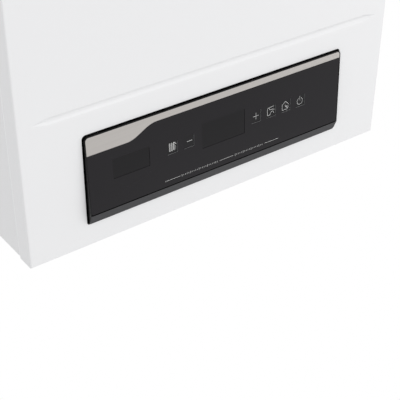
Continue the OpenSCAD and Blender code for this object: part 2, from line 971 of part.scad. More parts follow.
module chamber_door() {
    sight_z = burner_top + 10;
    color(zinc)
        difference() {
            union() {
                slab([-chamber_x, chamber_x], [chamber_front_y - door_t, chamber_front_y],
                    [chamber_z0, plate_low - 8]);
                upright(chamber_front_y - door_t, 3)
                    polygon(rounded(-chamber_x + 24, chamber_z0 + 24, chamber_x - 24, plate_low - 32, 12, 12));
            }
            upright(chamber_front_y + 1, 4)
                polygon(rounded(-chamber_x + 25, chamber_z0 + 25, chamber_x - 25, plate_low - 33, 11, 11));
            bar([0, chamber_front_y + 1, sight_z], [0, chamber_front_y - 9, sight_z], 12);
            door_screw_places()
                rotate([90, 0, 0])
                    translate([0, 0, -1])
                        cylinder(h = door_t + 2, r = 2.2);
        }
}

// A pan-head screw along z, with the underside of its head at z = 0
module pan_screw(shank) {
    cylinder(h = 2.4, r = 3.8);
    translate([0, 0, -shank])
        cylinder(h = shank + 1, r = 2);
}

// Screws of the chamber's door, the flue collar and the display board
module panel_screws() {
    collar_top_face = collar_z0 + collar_plate_t;
    color(steel) {
        door_screw_places()
            rotate([90, 0, 0])
                translate([0, 0, door_t])
                    pan_screw(door_t);
        collar_places()
            translate([0, 0, collar_top_face])
                pan_screw(collar_top_face - plate_low + 3);
        board_places()
            translate([0, 0, -board_thick]) {
                mirror([0, 0, 1])
                    cylinder(h = 2, r = 2.9);
                cylinder(h = board_thick, r = 1.5);
            }
    }
}

module sight_glass() {
    sight_z = burner_top + 10;
    face_y = chamber_front_y - door_t - 3;
    color([0.55, 0.62, 0.60]) {
        bar([0, face_y, sight_z], [0, face_y - 3, sight_z], 16);
        bar([0, face_y + 2, sight_z], [0, face_y - 1, sight_z], 11.8);
    }
}

module combustion_box() {
    color(steel) {
        difference() {
            slab([stack_x0, stack_x1], [stack_front, stack_rear], [burner_top, box_top]);
            slab([stack_x0 + 1, stack_x1 - 1], [stack_front + 1, stack_rear - 1], [burner_top - 1, box_top + 1]);
            electrode_places()
                bar([0, -5, 0], [0, board_t + 5, 0], 4.1);
        }
        for (x = [stack_x0 + 30, stack_x1 - 50], z = [burner_top + 12, box_top - 24]) {
            slab([x, x + 20], [stack_rear, chamber_in_y], [z, z + 12]);
        }
    }
}

module fibre_boards() {
    inner_x = stack_w / 2 - 1;
    inner_y = stack_d / 2 - 1;
    z = [burner_top + burner_flange_t, box_top];
    color([0.93, 0.90, 0.84])
        difference() {
            union() {
                for (side = [-1, 1]) {
                    slab([side * inner_x, side * (inner_x - board_t)], [stack_y - inner_y, stack_y + inner_y], z);
                    slab([-inner_x + board_t, inner_x - board_t],
                        [stack_y + side * inner_y, stack_y + side * (inner_y - board_t)], z);
                }
            }
            electrode_places()
                bar([0, -5, 0], [0, board_t + 5, 0], 4.1);
        }
}

// One fin: a plate with scalloped edges above and below the tubes
module fin_outline() {
    half = stack_d / 2 - 1;
    wave = 3;
    base = exchanger_h / 2 - 6;
    polygon(concat(
        [for (y = [-half:half / 15:half]) [y, base - wave + wave * cos(360 * y / water_tube_pitch)]],
        [for (y = [half:-half / 15:-half]) [y, -base]]
    ));
}

// The straight tubes, run on past their ends by a length
module water_tubes(r, over) {
    for (i = [0:tube_count - 1]) {
        left = i == tube_count - 1 ? -port_x : stack_x0;
        right = i == 0 ? port_x : stack_x1;
        bar([left - over, tube_y[i], tube_z], [right + over, tube_y[i], tube_z], r);
    }
}

module heat_exchanger() {
    fin_span = stack_w / 2 - 6;
    fins = floor(fin_span / fin_pitch);
    color(copper) {
        difference() {
            union() {
                difference() {
                    slab([stack_x0, stack_x1], [stack_front, stack_rear], [box_top, exchanger_top]);
                    slab([stack_x0 + 1, stack_x1 - 1], [stack_front + 1, stack_rear - 1],
                        [box_top - 1, exchanger_top + 1]);
                }
                for (i = [-fins:fins]) {
                    translate([i * fin_pitch - fin_t / 2, stack_y, tube_z])
                        rotate([90, 0, 90])
                            linear_extrude(fin_t)
                                fin_outline();
                }
                water_tubes(water_tube_r, 0);
            }
            water_tubes(water_tube_r - 1, 1);
        }
        for (i = [0:tube_count - 2]) {
            side = i % 2 == 0 ? -1 : 1;
            translate([side * stack_x1, (tube_y[i] + tube_y[i + 1]) / 2, tube_z])
                rotate([0, 0, -90 * side])
                    rotate_extrude(angle = 180)
                        translate([water_tube_pitch / 2, 0])
                            difference() {
                                circle(water_tube_r);
                                circle(water_tube_r - 1);
                            }
        }
    }
}

// Section of one burner blade: a thin body that widens to a slotted head
function blade_section(h) = [
    [-2.2, 0], [2.2, 0], [2.2, h - 22], [blade_head / 2, h - 12], [blade_head / 2, h - 2],
    [blade_head / 2 - 2, h], [2 - blade_head / 2, h], [-blade_head / 2, h - 2],
    [-blade_head / 2, h - 12], [-2.2, h - 22]
];

module burner_rack() {
    blade_z = chamber_floor + 12;
    blade_h = burner_top - 10 - blade_z;
    plate_x = stack_w / 2 - board_t;
    color(steel)
        difference() {
            union() {
                for (x = blade_x) {
                    translate([x, burner_rear, blade_z])
                        rotate([90, 0, 0])
                            linear_extrude(burner_rear - burner_front)
                                polygon(blade_section(blade_h));
                }
                slab([-plate_x, plate_x], [burner_rear, burner_rear + burner_flange_t],
                    [chamber_floor, burner_top]);
                slab([-plate_x, plate_x], [burner_front - burner_flange_t, burner_front],
                    [chamber_floor, burner_top]);
                for (y = [[burner_rear, stack_rear], [stack_front, burner_front]]) {
                    slab([stack_x0, stack_x1], y, [burner_top - burner_flange_t, burner_top]);
                }
            }
            for (i = [0:6]) {
                y = burner_rear - 14 - i * (burner_rear - burner_front - 28) / 6;
                slab([-plate_x, plate_x], [y - 3, y + 3], [burner_top - 13, burner_top - 9]);
            }
            for (x = blade_x) {
                bar([x, burner_front - burner_flange_t - 1, venturi_z], [x, burner_front + 6, venturi_z], venturi_r);
            }
        }
}

module gas_manifold() {
    nozzle_tip = burner_front - burner_flange_t - 2;
    color(brass) {
        bar([-manifold_x, manifold_y, venturi_z], [manifold_x, manifold_y, venturi_z], manifold_r);
        for (x = blade_x) {
            bar([x, manifold_y, venturi_z], [x, nozzle_tip - 3, venturi_z], 4.5);
            bar([x, manifold_y, venturi_z], [x, nozzle_tip, venturi_z], 3);
        }
        for (side = [-1, 1]) {
            slab([side * manifold_x, side * (manifold_x + 2)],
                [manifold_y - 6, burner_front - burner_flange_t], [venturi_z - 6, venturi_z + 6]);
        }
        bar([0, manifold_y, venturi_z], [0, manifold_y, venturi_z - manifold_r - 4], gas_pipe_r);
    }
}

// Electrodes pass the combustion box's front wall just above the burner
module electrode_places() {
    for (x = electrode_x) {
        translate([x, stack_front, burner_top + 9])
            children();
    }
}

module electrodes() {
    color([0.95, 0.94, 0.90])
        electrode_places() {
            bar([0, -6, 0], [0, board_t + 4, 0], 3.5);
            bar([0, board_t + 4, 0], [0, board_t + 16, 0], 1);
            bar([0, -10, 0], [0, -6, 0], 1.5);
        }
    color(steel)
        translate([0, stack_front, burner_top + 9]) {
            difference() {
                union() {
                    slab([electrode_x[0] - 8, electrode_x[1] + 8], [-1.2, 0], [-8, 8]);
                    slab([electrode_x[2] - 10, electrode_x[2] + 10], [-1.2, 0], [-8, 8]);
                }
                for (x = electrode_x) {
                    bar([x, 1, 0], [x, -3, 0], 3.5);
                }
            }
        }
}

module hood_form(inset) {
    hull() {
        slab([stack_x0 + inset, stack_x1 - inset], [stack_front + inset, stack_rear - inset],
            [exchanger_top - inset, exchanger_top + 1 - inset]);
        slab([fan_x - 40 + inset, fan_x + 40 - inset], [throat_y + inset, stack_rear - inset],
            [hood_slope_top - 1 - inset, hood_slope_top - inset]);
    }
}

module flue_hood() {
    throat_top = fan_z + fan_inlet_r + 8;
    color(zinc)
        difference() {
            union() {
                hood_form(0);
                slab([fan_x - 40, fan_x + 40], [throat_y, stack_rear], [hood_slope_top - 1, throat_top]);
            }
            hood_form(hood_t);
            slab([fan_x - 40 + hood_t, fan_x + 40 - hood_t], [throat_y + hood_t, stack_rear - hood_t],
                [hood_slope_top - 2, throat_top - hood_t]);
            bar([fan_x, throat_y + 2, fan_z], [fan_x, throat_y - 2, fan_z], fan_inlet_r);
        }
}

// Outline of the fan's spiral casing with its upward duct
function scroll_outline(inset) =
    let (
        left = fan_duct_w / 2 - fan_duct_w + inset,
        right = fan_duct_w / 2 - inset,
        a0 = acos((left - fan_x) / (scroll_r0 - inset)),
        steps = 24
    )
    concat(
        [for (i = [0:steps])
            let (a = a0 + (360 - a0) * i / steps, r = scroll_r0 + (scroll_r1 - scroll_r0) * i / steps - inset)
                [fan_x + r * cos(a), fan_z + r * sin(a)]],
        [[right, fan_duct_top - inset], [left, fan_duct_top - inset]]
    );

module fan_housing() {
    color(zinc) {
        difference() {
            upright(fan_rear_y, fan_w)
                polygon(scroll_outline(0));
            upright(fan_rear_y - fan_t, fan_w - 2 * fan_t)
                polygon(scroll_outline(fan_t));
            bar([fan_x, fan_rear_y + 1, fan_z], [fan_x, fan_rear_y - 2 * fan_t, fan_z], fan_inlet_r);
            bar([fan_x, fan_front_y + 2 * fan_t, fan_z], [fan_x, fan_front_y - 1, fan_z], wheel_r + 2);
            translate([0, flue_y, fan_duct_top - 2 * fan_t])
                cylinder(h = 3 * fan_t, r = fan_w / 2 - 2 * fan_t);
        }
        difference() {
            translate([0, flue_y, fan_duct_top])
                cylinder(h = socket_z0 - 0.3 - fan_duct_top, r = fan_spigot_r);
            translate([0, flue_y, fan_duct_top + fan_t])
                cylinder(h = socket_z0 - fan_duct_top, r = fan_spigot_r - fan_t);
            translate([0, flue_y, fan_duct_top - 1])
                cylinder(h = 2 + fan_t, r = fan_w / 2 - 2 * fan_t);
        }
    }
}

// One forward-curved blade, as a bent strip between the wheel's two radii
module wheel_blade() {
    inner = wheel_r - 10;
    outer = wheel_r - 0.6;
    lean = 10;
    n = 4;
    polygon(concat(
        [for (i = [0:n]) let (r = inner + (outer - inner) * i / n, a = lean * i * i / n / n)
            [r * cos(a), r * sin(a)]],
        [for (i = [n:-1:0]) let (r = inner + (outer - inner) * i / n, a = lean * i * i / n / n + 1.6)
            [r * cos(a), r * sin(a)]]
    ));
}

module fan_wheel() {
    back = fan_front_y + 8;
    color(zinc)
        translate([fan_x, back, fan_z])
            rotate([-90, 0, 0]) {
                for (i = [0:wheel_blades - 1]) {
                    rotate([0, 0, 360 * i / wheel_blades])
                        linear_extrude(wheel_w)
                            wheel_blade();
                }
                cylinder(h = 1.2, r = wheel_r);
                cylinder(h = 12, r = 8);
                translate([0, 0, wheel_w - 1])
                    difference() {
                        cylinder(h = 1.2, r = wheel_r);
                        translate([0, 0, -1])
                            cylinder(h = 4, r = wheel_r - 9.5);
                    }
                translate([0, 0, -8 - motor_gap - motor_l - 4])
                    cylinder(h = 8 + motor_gap + motor_l + 10, r = fan_shaft_r);
            }
}

module fan_motor() {
    stack0 = fan_front_y - fan_t - motor_gap;
    stack1 = stack0 - motor_l;
    color([0.55, 0.56, 0.58])
        difference() {
            union() {
                bar([fan_x, fan_front_y, fan_z], [fan_x, fan_front_y - fan_t, fan_z], motor_plate_r);
                for (a = [30, 150, 270]) {
                    bar([fan_x + 26 * cos(a), fan_front_y, fan_z + 26 * sin(a)],
                        [fan_x + 26 * cos(a), stack0, fan_z + 26 * sin(a)], 3.5);
                }
                upright(stack0, 6)
                    circle_at(fan_x, fan_z, 31);
                upright(stack0 - 6, motor_l - 12)
                    polygon(rounded(fan_x - 32, fan_z - 30, fan_x + 32, fan_z + 34, 8, 8));
                upright(stack1 + 6, 6)
                    circle_at(fan_x, fan_z, 31);
                upright(stack1, 5)
                    circle_at(fan_x, fan_z, 9);
            }
            bar([fan_x, fan_front_y + 1, fan_z], [fan_x, stack1 - 6, fan_z], fan_shaft_r + run_clear);
        }
    color(copper)
        for (side = [-1, 1]) {
            slab([fan_x - 18, fan_x + 18], [stack0 - 9, stack1 + 9], [fan_z + side * 28, fan_z + side * 42]);
        }
}

module circle_at(x, z, r) {
    translate([x, z])
        circle(r);
}

module air_switch() {
    x = chamber_x - chamber_t;
    y = chamber_in_y - 40;
    z = plate_low - 70;
    color([0.86, 0.86, 0.84]) {
        bar([x, y, z], [x - 9, y, z], 30);
        bar([x - 9, y, z], [x - 12, y, z], 33);
        bar([x - 12, y, z], [x - 22, y, z], 27);
        bar([x - 22, y, z], [x - 30, y, z], 12);
        for (s = [-1, 1]) {
            bar([x - 22, y + s * 18, z], [x - 31, y + s * 18, z], 2.5);
        }
    }
}

// Collar screws sit at the corners of the collar's square flange
module collar_places() {
    for (sx = [-1, 1], sy = [-1, 1]) {
        translate([sx * (collar_w / 2 - 10), flue_y + sy * (collar_w / 2 - 10), 0])
            children();
    }
}

module collar_holes(z, h) {
    collar_places()
        translate([0, 0, z])
            cylinder(h = h, r = 2.2);
}

module collar_gasket() {
    color([0.20, 0.20, 0.21])
        difference() {
            translate([0, flue_y, plate_top])
                linear_extrude(gasket_t)
                    polygon(rounded(-collar_w / 2, -collar_w / 2, collar_w / 2, collar_w / 2, 8, 8));
            translate([0, flue_y, plate_top - 1])
                cylinder(h = gasket_t + 2, r = air_hole_r);
            collar_holes(plate_top - 1, gasket_t + 2);
        }
}

module flue_collar() {
    flange_top = collar_z0 + collar_plate_t;
    color([0.90, 0.90, 0.90])
        translate([0, flue_y, 0]) {
            difference() {
                union() {
                    translate([0, 0, collar_z0])
                        linear_extrude(collar_plate_t)
                            polygon(rounded(-collar_w / 2, -collar_w / 2, collar_w / 2, collar_w / 2, 8, 8));
                    translate([0, 0, collar_z0])
                        cylinder(h = collar_top - collar_z0, r = air_r);
                }
                translate([0, 0, collar_z0 - 1])
                    cylinder(h = collar_top - collar_z0 + 2, r = air_hole_r);
                translate([0, -flue_y, 0])
                    collar_holes(collar_z0 - 1, collar_plate_t + 2);
            }
            difference() {
                union() {
                    translate([0, 0, socket_z0])
                        cylinder(h = collar_top - socket_z0, r = flue_r + collar_t);
                    for (a = [90, 210, 330]) {
                        rotate([0, 0, a])
                            translate([flue_r + 0.5, -1, socket_z0])
                                cube([air_hole_r - flue_r, 2, 8]);
                    }
                }
                translate([0, 0, socket_z0 - 1])
                    cylinder(h = collar_top - socket_z0 + 2, r = flue_r);
            }
        }
}

// Water circuit

function stub_radius(i) = i == -1 || i == 1 ? small_thread_r : big_thread_r;

// Half section of the vessel: two shallow domes that meet in a crimped rim
function vessel_dome(inset, side) =
    let (edge = vessel_dia / 2 - 6 - inset, flat_r = vessel_dia / 2 - 42, deep = vessel_d / 2 - inset)
        [for (i = [0:8]) [
            flat_r + (edge - flat_r) * sin(90 * i / 8),
            side * (4 + (deep - 4) * cos(90 * i / 8))
        ]];

function reversed(list) = [for (i = [len(list) - 1:-1:0]) list[i]];

module vessel_section() {
    half = vessel_d / 2;
    difference() {
        polygon(concat(
            [[0, -half]], vessel_dome(0, -1), [[vessel_dia / 2, -4], [vessel_dia / 2, 4]],
            reversed(vessel_dome(0, 1)), [[0, half]]
        ));
        polygon(concat(
            [[0, vessel_t - half]], vessel_dome(vessel_t, -1),
            reversed(vessel_dome(vessel_t, 1)), [[0, half - vessel_t]]
        ));
    }
}

module expansion_vessel() {
    low = vessel_z - vessel_dia / 2;
    color([0.72, 0.12, 0.10])
        difference() {
            union() {
                translate([0, vessel_y, vessel_z])
                    rotate([90, 0, 0])
                        rotate_extrude($fn = 72)
                            vessel_section();
                bar([vessel_port_x, vessel_y, low + 12], [vessel_port_x, vessel_y, low - 2], 8);
            }
            bar([vessel_port_x, vessel_y, low + 13], [vessel_port_x, vessel_y, low - 3], vessel_pipe_r);
        }
}

module vessel_pipe() {
    color(copper)
        pipe([
            [vessel_port_x, vessel_y, vessel_z - vessel_dia / 2 - 2],
            [vessel_port_x, vessel_y, vessel_level],
            [pump_x, vessel_y, vessel_level],
            [pump_x, vessel_y, pump_z],
            [pump_x, pump_rear_y, pump_z]
        ], vessel_pipe_r, vessel_bend);
}

module pump_housing() {
    vent_x = pump_x - 24;
    color([0.25, 0.27, 0.30])
        difference() {
            union() {
                bar([pump_x, pump_rear_y, pump_z], [pump_x, pump_front_y, pump_z], pump_r);
                bar([pump_x, pump_front_y, pump_z], [pump_x, pump_front_y - 5, pump_z], pump_motor_r);
                bar([riser_x, hyd_y, pump_z], [riser_x, hyd_y, pump_port_top], pipe_r + 3);
                bar([pump_x, hyd_y, pump_z], [pump_x, hyd_y, hyd_z + barrel_r], 15);
                bar([vent_x, hyd_y, pump_z], [vent_x, hyd_y, pump_port_top], 12);
                slab([pump_x, riser_x], [hyd_y - pipe_r - 3, hyd_y + pipe_r + 3], [pump_z, pump_z + 20]);
            }
            bar([pump_x, pump_front_y - 6, pump_z], [pump_x, pump_rear_y - 8, pump_z], impeller_r + 4);
        }
}

module pump_impeller() {
    rear = pump_rear_y - 11;
    color([0.80, 0.78, 0.70])
        translate([pump_x, rear, pump_z])
            rotate([90, 0, 0]) {
                cylinder(h = 2, r = impeller_r);
                translate([0, 0, 9])
                    cylinder(h = 2, r = impeller_r);
                for (i = [0:6]) {
                    rotate([0, 0, 360 * i / 7])
                        linear_extrude(10)
                            polygon(concat(
                                [for (s = [0:4]) let (r = 6 + 4.4 * s, a = 16 * s) [r * cos(a), r * sin(a)]],
                                [for (s = [4:-1:0]) let (r = 6 + 4.4 * s, a = 16 * s + 7) [r * cos(a), r * sin(a)]]
                            ));
                }
                cylinder(h = 11, r = 8);
                cylinder(h = 44, r = pump_shaft_r);
            }
}

module pump_motor() {
    face = pump_front_y - 5;
    stop = face - pump_motor_l;
    color([0.62, 0.10, 0.10])
        difference() {
            union() {
                bar([pump_x, face, pump_z], [pump_x, face - 8, pump_z], pump_motor_r);
                bar([pump_x, face - 8, pump_z], [pump_x, stop + 10, pump_z], pump_motor_r - 4);
                translate([pump_x, stop + 10, pump_z])
                    rotate([90, 0, 0])
                        cylinder(h = 10, r1 = pump_motor_r - 4, r2 = pump_motor_r - 12);
                slab([pump_x - 24, pump_x + 24], [face - 20, stop + 12],
                    [pump_z + pump_motor_r - 14, pump_z + pump_motor_r + 14]);
            }
            bar([pump_x, face + 1, pump_z], [pump_x, face - 26, pump_z], pump_shaft_r + run_clear);
            bar([pump_x, stop + 4, pump_z], [pump_x, stop - 1, pump_z], 9);
        }
}

module air_vent() {
    x = pump_x - 24;
    color(brass) {
        bar([x, hyd_y, pump_port_top], [x, hyd_y, pump_port_top + 8], 8);
        bar([x, hyd_y, pump_port_top + 8], [x, hyd_y, pump_port_top + 42], 13);
        bar([x, hyd_y, pump_port_top + 42], [x, hyd_y, pump_port_top + 48], 6);
        bar([x, hyd_y, pump_port_top + 48], [x, hyd_y, pump_port_top + 55], 4);
    }
}

module plate_exchanger() {
    x = plates_w / 2;
    color([0.75, 0.72, 0.66]) {
        translate([0, 0, plates_z0])
            linear_extrude(2)
                polygon(rounded(-x, plates_y0, x, plates_y1, 16, 16));
        for (i = [0:plate_count - 1]) {
            translate([0, 0, plates_z0 + 2 + i * plates_step]) {
                linear_extrude(plates_step - 0.8)
                    polygon(rounded(-x + 1.2, plates_y0 + 1.2, x - 1.2, plates_y1 - 1.2, 15, 15));
                translate([0, 0, plates_step - 0.8])
                    linear_extrude(0.8)
                        polygon(rounded(-x, plates_y0, x, plates_y1, 16, 16));
            }
        }
        slab([-x + 40, -x + 60], [back_in_y, plates_y1 - 2], [plates_z0 + 8, plates_z0 + 10]);
        slab([x - 60, x - 40], [back_in_y, plates_y1 - 2], [plates_z0 + 8, plates_z0 + 10]);
    }
}

// A brass group's barrel with its two drops and its neck to the plate exchanger
module group_body(side) {
    bar([side * (0.75 * stub_pitch), hyd_y, hyd_z], [side * riser_x, hyd_y, hyd_z], barrel_r);
    bar([side * riser_x, hyd_y, hyd_z], [side * (riser_x + 8), hyd_y, hyd_z], barrel_r - 3);
    for (i = [1, 2]) {
        bar([side * i * stub_pitch, hyd_y, hyd_z], [side * i * stub_pitch, hyd_y, stub_top],
            stub_radius(side * i) + 1.5);
    }
    bar([side * plates_port_x, hyd_y, hyd_z], [side * plates_port_x, plates_port_y + 4, hyd_z], 14);
    bar([side * plates_port_x, plates_port_y, hyd_z], [side * plates_port_x, plates_port_y, plates_z0],
        plates_port_r);
}

module flow_group() {
    color(brass)
        difference() {
            union() {
                group_body(-1);
                bar([-riser_x + 0.01, hyd_y, hyd_z], [-riser_x + 0.01, hyd_y, riser_top], pipe_r + 2.5);
                bar([-diverter_x, hyd_y, hyd_z], [-diverter_x, hyd_y, diverter_top], diverter_r);
            }
            bar([-diverter_x, hyd_y, hyd_z - 8], [-diverter_x, hyd_y, hyd_z + 12], poppet_r + 1.5);
            bar([-diverter_x, hyd_y, hyd_z], [-diverter_x, hyd_y, diverter_top + 1], spindle_r + run_clear);
        }
}

module diverter_spindle() {
    foot = hyd_z - 6;
    color(steel) {
        bar([-diverter_x, hyd_y, foot], [-diverter_x, hyd_y, foot + 4], poppet_r);
        bar([-diverter_x, hyd_y, foot + 4], [-diverter_x, hyd_y, diverter_top + 2], spindle_r);
    }
}

module diverter_motor() {
    room = spindle_travel + 4;
    color([0.88, 0.88, 0.86])
        difference() {
            union() {
                bar([-diverter_x, hyd_y, diverter_top], [-diverter_x, hyd_y, diverter_top + 8], diverter_r + 3);
                translate([-diverter_x, hyd_y, diverter_top + 8])
                    linear_extrude(46)
                        polygon(rounded(-18, -30, 18, 18, 4, 4));
            }
            bar([-diverter_x, hyd_y, diverter_top - 1], [-diverter_x, hyd_y, diverter_top + room], spindle_r + 1.5);
        }
}

module return_group() {
    color(brass)
        difference() {
            union() {
                group_body(1);
                bar([pump_x, hyd_y, hyd_z], [pump_x, hyd_y, hyd_z + barrel_r], 15);
                bar([fill_x, hyd_y, hyd_z - 8], [fill_x, fill_y, hyd_z - 8], 8);
                bar([fill_x, fill_y, hyd_z + 2], [fill_x, fill_y, tray_top + 4], 10);
                bar([relief_x, hyd_y, hyd_z], [relief_x, relief_y, hyd_z], 10);
            }
            bar([fill_x, fill_y, hyd_z - 20], [fill_x, fill_y, tray_top - 1], fill_stem_r + run_clear);
        }
}

module relief_valve() {
    y1 = relief_y - relief_l;
    color(brass)
        difference() {
            union() {
                bar([relief_x, relief_y, hyd_z], [relief_x, y1, hyd_z], relief_r);
                bar([relief_x, relief_out_y, hyd_z], [relief_x, relief_out_y, tray_low - 14], 7);
            }
            bar([relief_x, relief_out_y, hyd_z - relief_r], [relief_x, relief_out_y, tray_low - 15], 5);
            bar([relief_x, y1 + 14, hyd_z], [relief_x, y1 - 1, hyd_z], spindle_r + run_clear);
        }
}

module relief_knob() {
    color([0.75, 0.08, 0.08])
        translate([relief_x, relief_y - relief_l - 0.3, hyd_z])
            rotate([90, 0, 0]) {
                difference() {
                    cylinder(h = 18, r = 16);
                    for (i = [0:7]) {
                        rotate([0, 0, 45 * i])
                            translate([18, 0, -1])
                                cylinder(h = 20, r = 4);
                    }
                }
                translate([0, 0, -12])
                    cylinder(h = 13, r = spindle_r);
            }
}

module fill_knob() {
    top = tray_low - 4;
    color([0.12, 0.13, 0.15]) {
        translate([fill_x, fill_y, top - 18])
            difference() {
                cylinder(h = 18, r = 13);
                for (i = [0:5]) {
                    rotate([0, 0, 60 * i])
                        translate([15, 0, -1])
                            cylinder(h = 20, r = 4.5);
                }
            }
        bar([fill_x, fill_y, top - 1], [fill_x, fill_y, hyd_z - 22], fill_stem_r);
    }
}

module flow_pipe() {
    y = tube_y[tube_count - 1];
    color(copper)
        pipe([
            [-port_x, y, tube_z], [-riser_x, y, tube_z], [-riser_x, y, bend_level],
            [-riser_x, hyd_y, bend_level], [-riser_x, hyd_y, riser_top]
        ], pipe_r, pipe_bend);
}

module return_pipe() {
    y = tube_y[0];
    bend = min(pipe_bend, (hyd_y - y) / 2 - 0.1);
    color(copper)
        pipe([
            [port_x, y, tube_z], [riser_x, y, tube_z], [riser_x, y, bend_level],
            [riser_x, hyd_y, bend_level], [riser_x, hyd_y, pump_port_top]
        ], pipe_r, bend);
}

module gas_line() {
    color([0.86, 0.78, 0.30]) {
        pipe([
            [0, gas_valve_y, gas_valve_z1], [0, gas_valve_y, bend_level],
            [0, manifold_y, bend_level], [0, manifold_y, venturi_z - manifold_r - 4]
        ], gas_pipe_r, pipe_bend);
        pipe([
            [0, hyd_y, stub_top], [0, hyd_y, gas_step],
            [0, gas_valve_y, gas_step], [0, gas_valve_y, gas_valve_z0]
        ], gas_pipe_r, pipe_bend);
    }
}

module gas_valve() {
    y = gas_valve_y;
    color([0.70, 0.71, 0.73]) {
        translate([0, y, gas_valve_z0])
            cylinder(h = 8, r = 19, $fn = 6);
        slab([-28, 28], [y - 26, y + 26], [gas_valve_z0 + 8, gas_valve_z1 - 8]);
        translate([0, y, gas_valve_z1 - 8])
            cylinder(h = 8, r = 19, $fn = 6);
        bar([0, y - 26, gas_valve_z0 + 45], [0, y - 40, gas_valve_z0 + 45], 17);
        bar([0, y - 40, gas_valve_z0 + 45], [0, y - 46, gas_valve_z0 + 45], 8);
    }
    color([0.15, 0.15, 0.17]) {
        slab([28, 54], [y - 18, y + 18], [gas_valve_z0 + 24, gas_valve_z1 - 16]);
        slab([-54, -28], [y - 18, y + 18], [gas_valve_z0 + 24, gas_valve_z1 - 16]);
    }
}

module pipe_stubs() {
    color(brass)
        for (i = [-2:2]) {
            r = stub_radius(i);
            translate([i * stub_pitch, hyd_y, 0])
                difference() {
                    union() {
                        translate([0, 0, tray_top])
                            cylinder(h = stub_top - tray_top, r = r + shoulder_extra);
                        translate([0, 0, stub_low])
                            cylinder(h = stub_top - stub_low, r = r);
                        translate([0, 0, nut_low])
                            cylinder(h = nut_h, r = r + shoulder_extra, $fn = 6);
                    }
                    translate([0, 0, stub_low - 1])
                        cylinder(h = stub_top - stub_low - 4, r = r - 3.4);
                }
        }
}

// Mains cable gland: a body in the tray's hole, a nut above it and a dome nut below
module cable_gland() {
    color(dark)
        translate([gland_x, gland_y, tray_low])
            difference() {
                union() {
                    translate([0, 0, -16])
                        cylinder(h = 6, r1 = gland_r - 2.4, r2 = gland_r + 1);
                    translate([0, 0, -10])
                        cylinder(h = 7, r = gland_r + 1);
                    translate([0, 0, -4])
                        cylinder(h = 4, r = gland_r + 4, $fn = 6);
                    cylinder(h = frame_t + 8, r = gland_r);
                    translate([0, 0, frame_t])
                        cylinder(h = 4.5, r = gland_r + 4, $fn = 6);
                }
                translate([0, 0, -17])
                    cylinder(h = frame_t + 26, r = cable_r);
            }
}

wall_bracket();
back_frame();
side_left();
side_right();
top_plate();
bottom_tray();
front_cover();
cover_screws();
fascia_bezel();
fascia_plate();
wave_trim();
display_lens();
status_lens();
key_heating();
key_minus();
key_plus();
key_water();
key_home();
key_power();
display_board();
control_box();
control_lid();
main_board();
sealed_chamber();
chamber_door();
panel_screws();
sight_glass();
combustion_box();
fibre_boards();
heat_exchanger();
burner_rack();
gas_manifold();
electrodes();
flue_hood();
fan_housing();
fan_wheel();
fan_motor();
air_switch();
collar_gasket();
flue_collar();
expansion_vessel();
vessel_pipe();
pump_housing();
pump_impeller();
pump_motor();
air_vent();
plate_exchanger();
flow_group();
diverter_spindle();
diverter_motor();
return_group();
relief_valve();
relief_knob();
fill_knob();
flow_pipe();
return_pipe();
gas_line();
gas_valve();
pipe_stubs();
cable_gland();
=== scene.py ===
import json
import math

import bpy
from mathutils import Matrix, Vector

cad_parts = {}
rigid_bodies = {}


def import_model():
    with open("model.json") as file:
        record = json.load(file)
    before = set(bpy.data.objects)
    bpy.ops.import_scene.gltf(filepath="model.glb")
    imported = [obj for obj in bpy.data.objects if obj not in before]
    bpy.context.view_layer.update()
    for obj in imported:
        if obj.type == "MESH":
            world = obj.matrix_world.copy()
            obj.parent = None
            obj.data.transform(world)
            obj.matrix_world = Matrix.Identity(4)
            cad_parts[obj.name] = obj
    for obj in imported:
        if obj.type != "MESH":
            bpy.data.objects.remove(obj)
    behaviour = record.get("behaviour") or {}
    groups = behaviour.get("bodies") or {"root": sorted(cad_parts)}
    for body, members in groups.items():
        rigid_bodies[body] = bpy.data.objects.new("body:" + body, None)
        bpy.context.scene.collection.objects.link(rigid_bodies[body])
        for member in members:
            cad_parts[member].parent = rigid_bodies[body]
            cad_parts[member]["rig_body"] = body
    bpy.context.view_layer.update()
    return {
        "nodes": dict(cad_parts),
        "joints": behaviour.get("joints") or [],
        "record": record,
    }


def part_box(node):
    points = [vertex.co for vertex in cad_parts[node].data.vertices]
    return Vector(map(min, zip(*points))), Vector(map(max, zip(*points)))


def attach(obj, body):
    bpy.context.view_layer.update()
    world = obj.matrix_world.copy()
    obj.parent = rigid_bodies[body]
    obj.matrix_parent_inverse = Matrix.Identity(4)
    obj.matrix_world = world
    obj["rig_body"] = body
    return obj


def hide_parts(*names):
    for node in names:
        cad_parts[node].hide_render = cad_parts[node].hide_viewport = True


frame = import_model()
nodes = frame["nodes"]
print("frame loaded with", len(nodes), "nodes")

mm = 0.001


# Studio: camera, lights, floor

studio = {
    "cameraPlace": (-0.48476, -0.91730, -0.14582),
    "cameraTurn": (56.279, -0.3203, -36.6149),
    "lens": 89.5,
    "sensor": 36.0,
    "skyLight": 0.895,       # what the boiler receives from all round
    "skyColour": (0.988, 0.99, 1.0, 1),
    "seenWhite": 1.0,        # what the camera sees of sky and floor
    "floorHeight": -2.2,
    "floorSize": 60.0,
    "floorTone": 0.78,
    "floorRoughness": 0.9,
    "farthestSeen": 200,
    "lightsAim": (0, -0.15, -0.45),
    "keyPlace": (0.7, -3.1, 2.2),
    "keySize": 2.0,
    "keyPower": 26.4,
    "fillPlace": (2.9, -2.2, -0.9),
    "fillSize": 1.8,
    "fillPower": 14.0,
}


def aim(obj, target):
    way = Vector(target) - obj.location
    obj.rotation_euler = way.to_track_quat("-Z", "Y").to_euler()


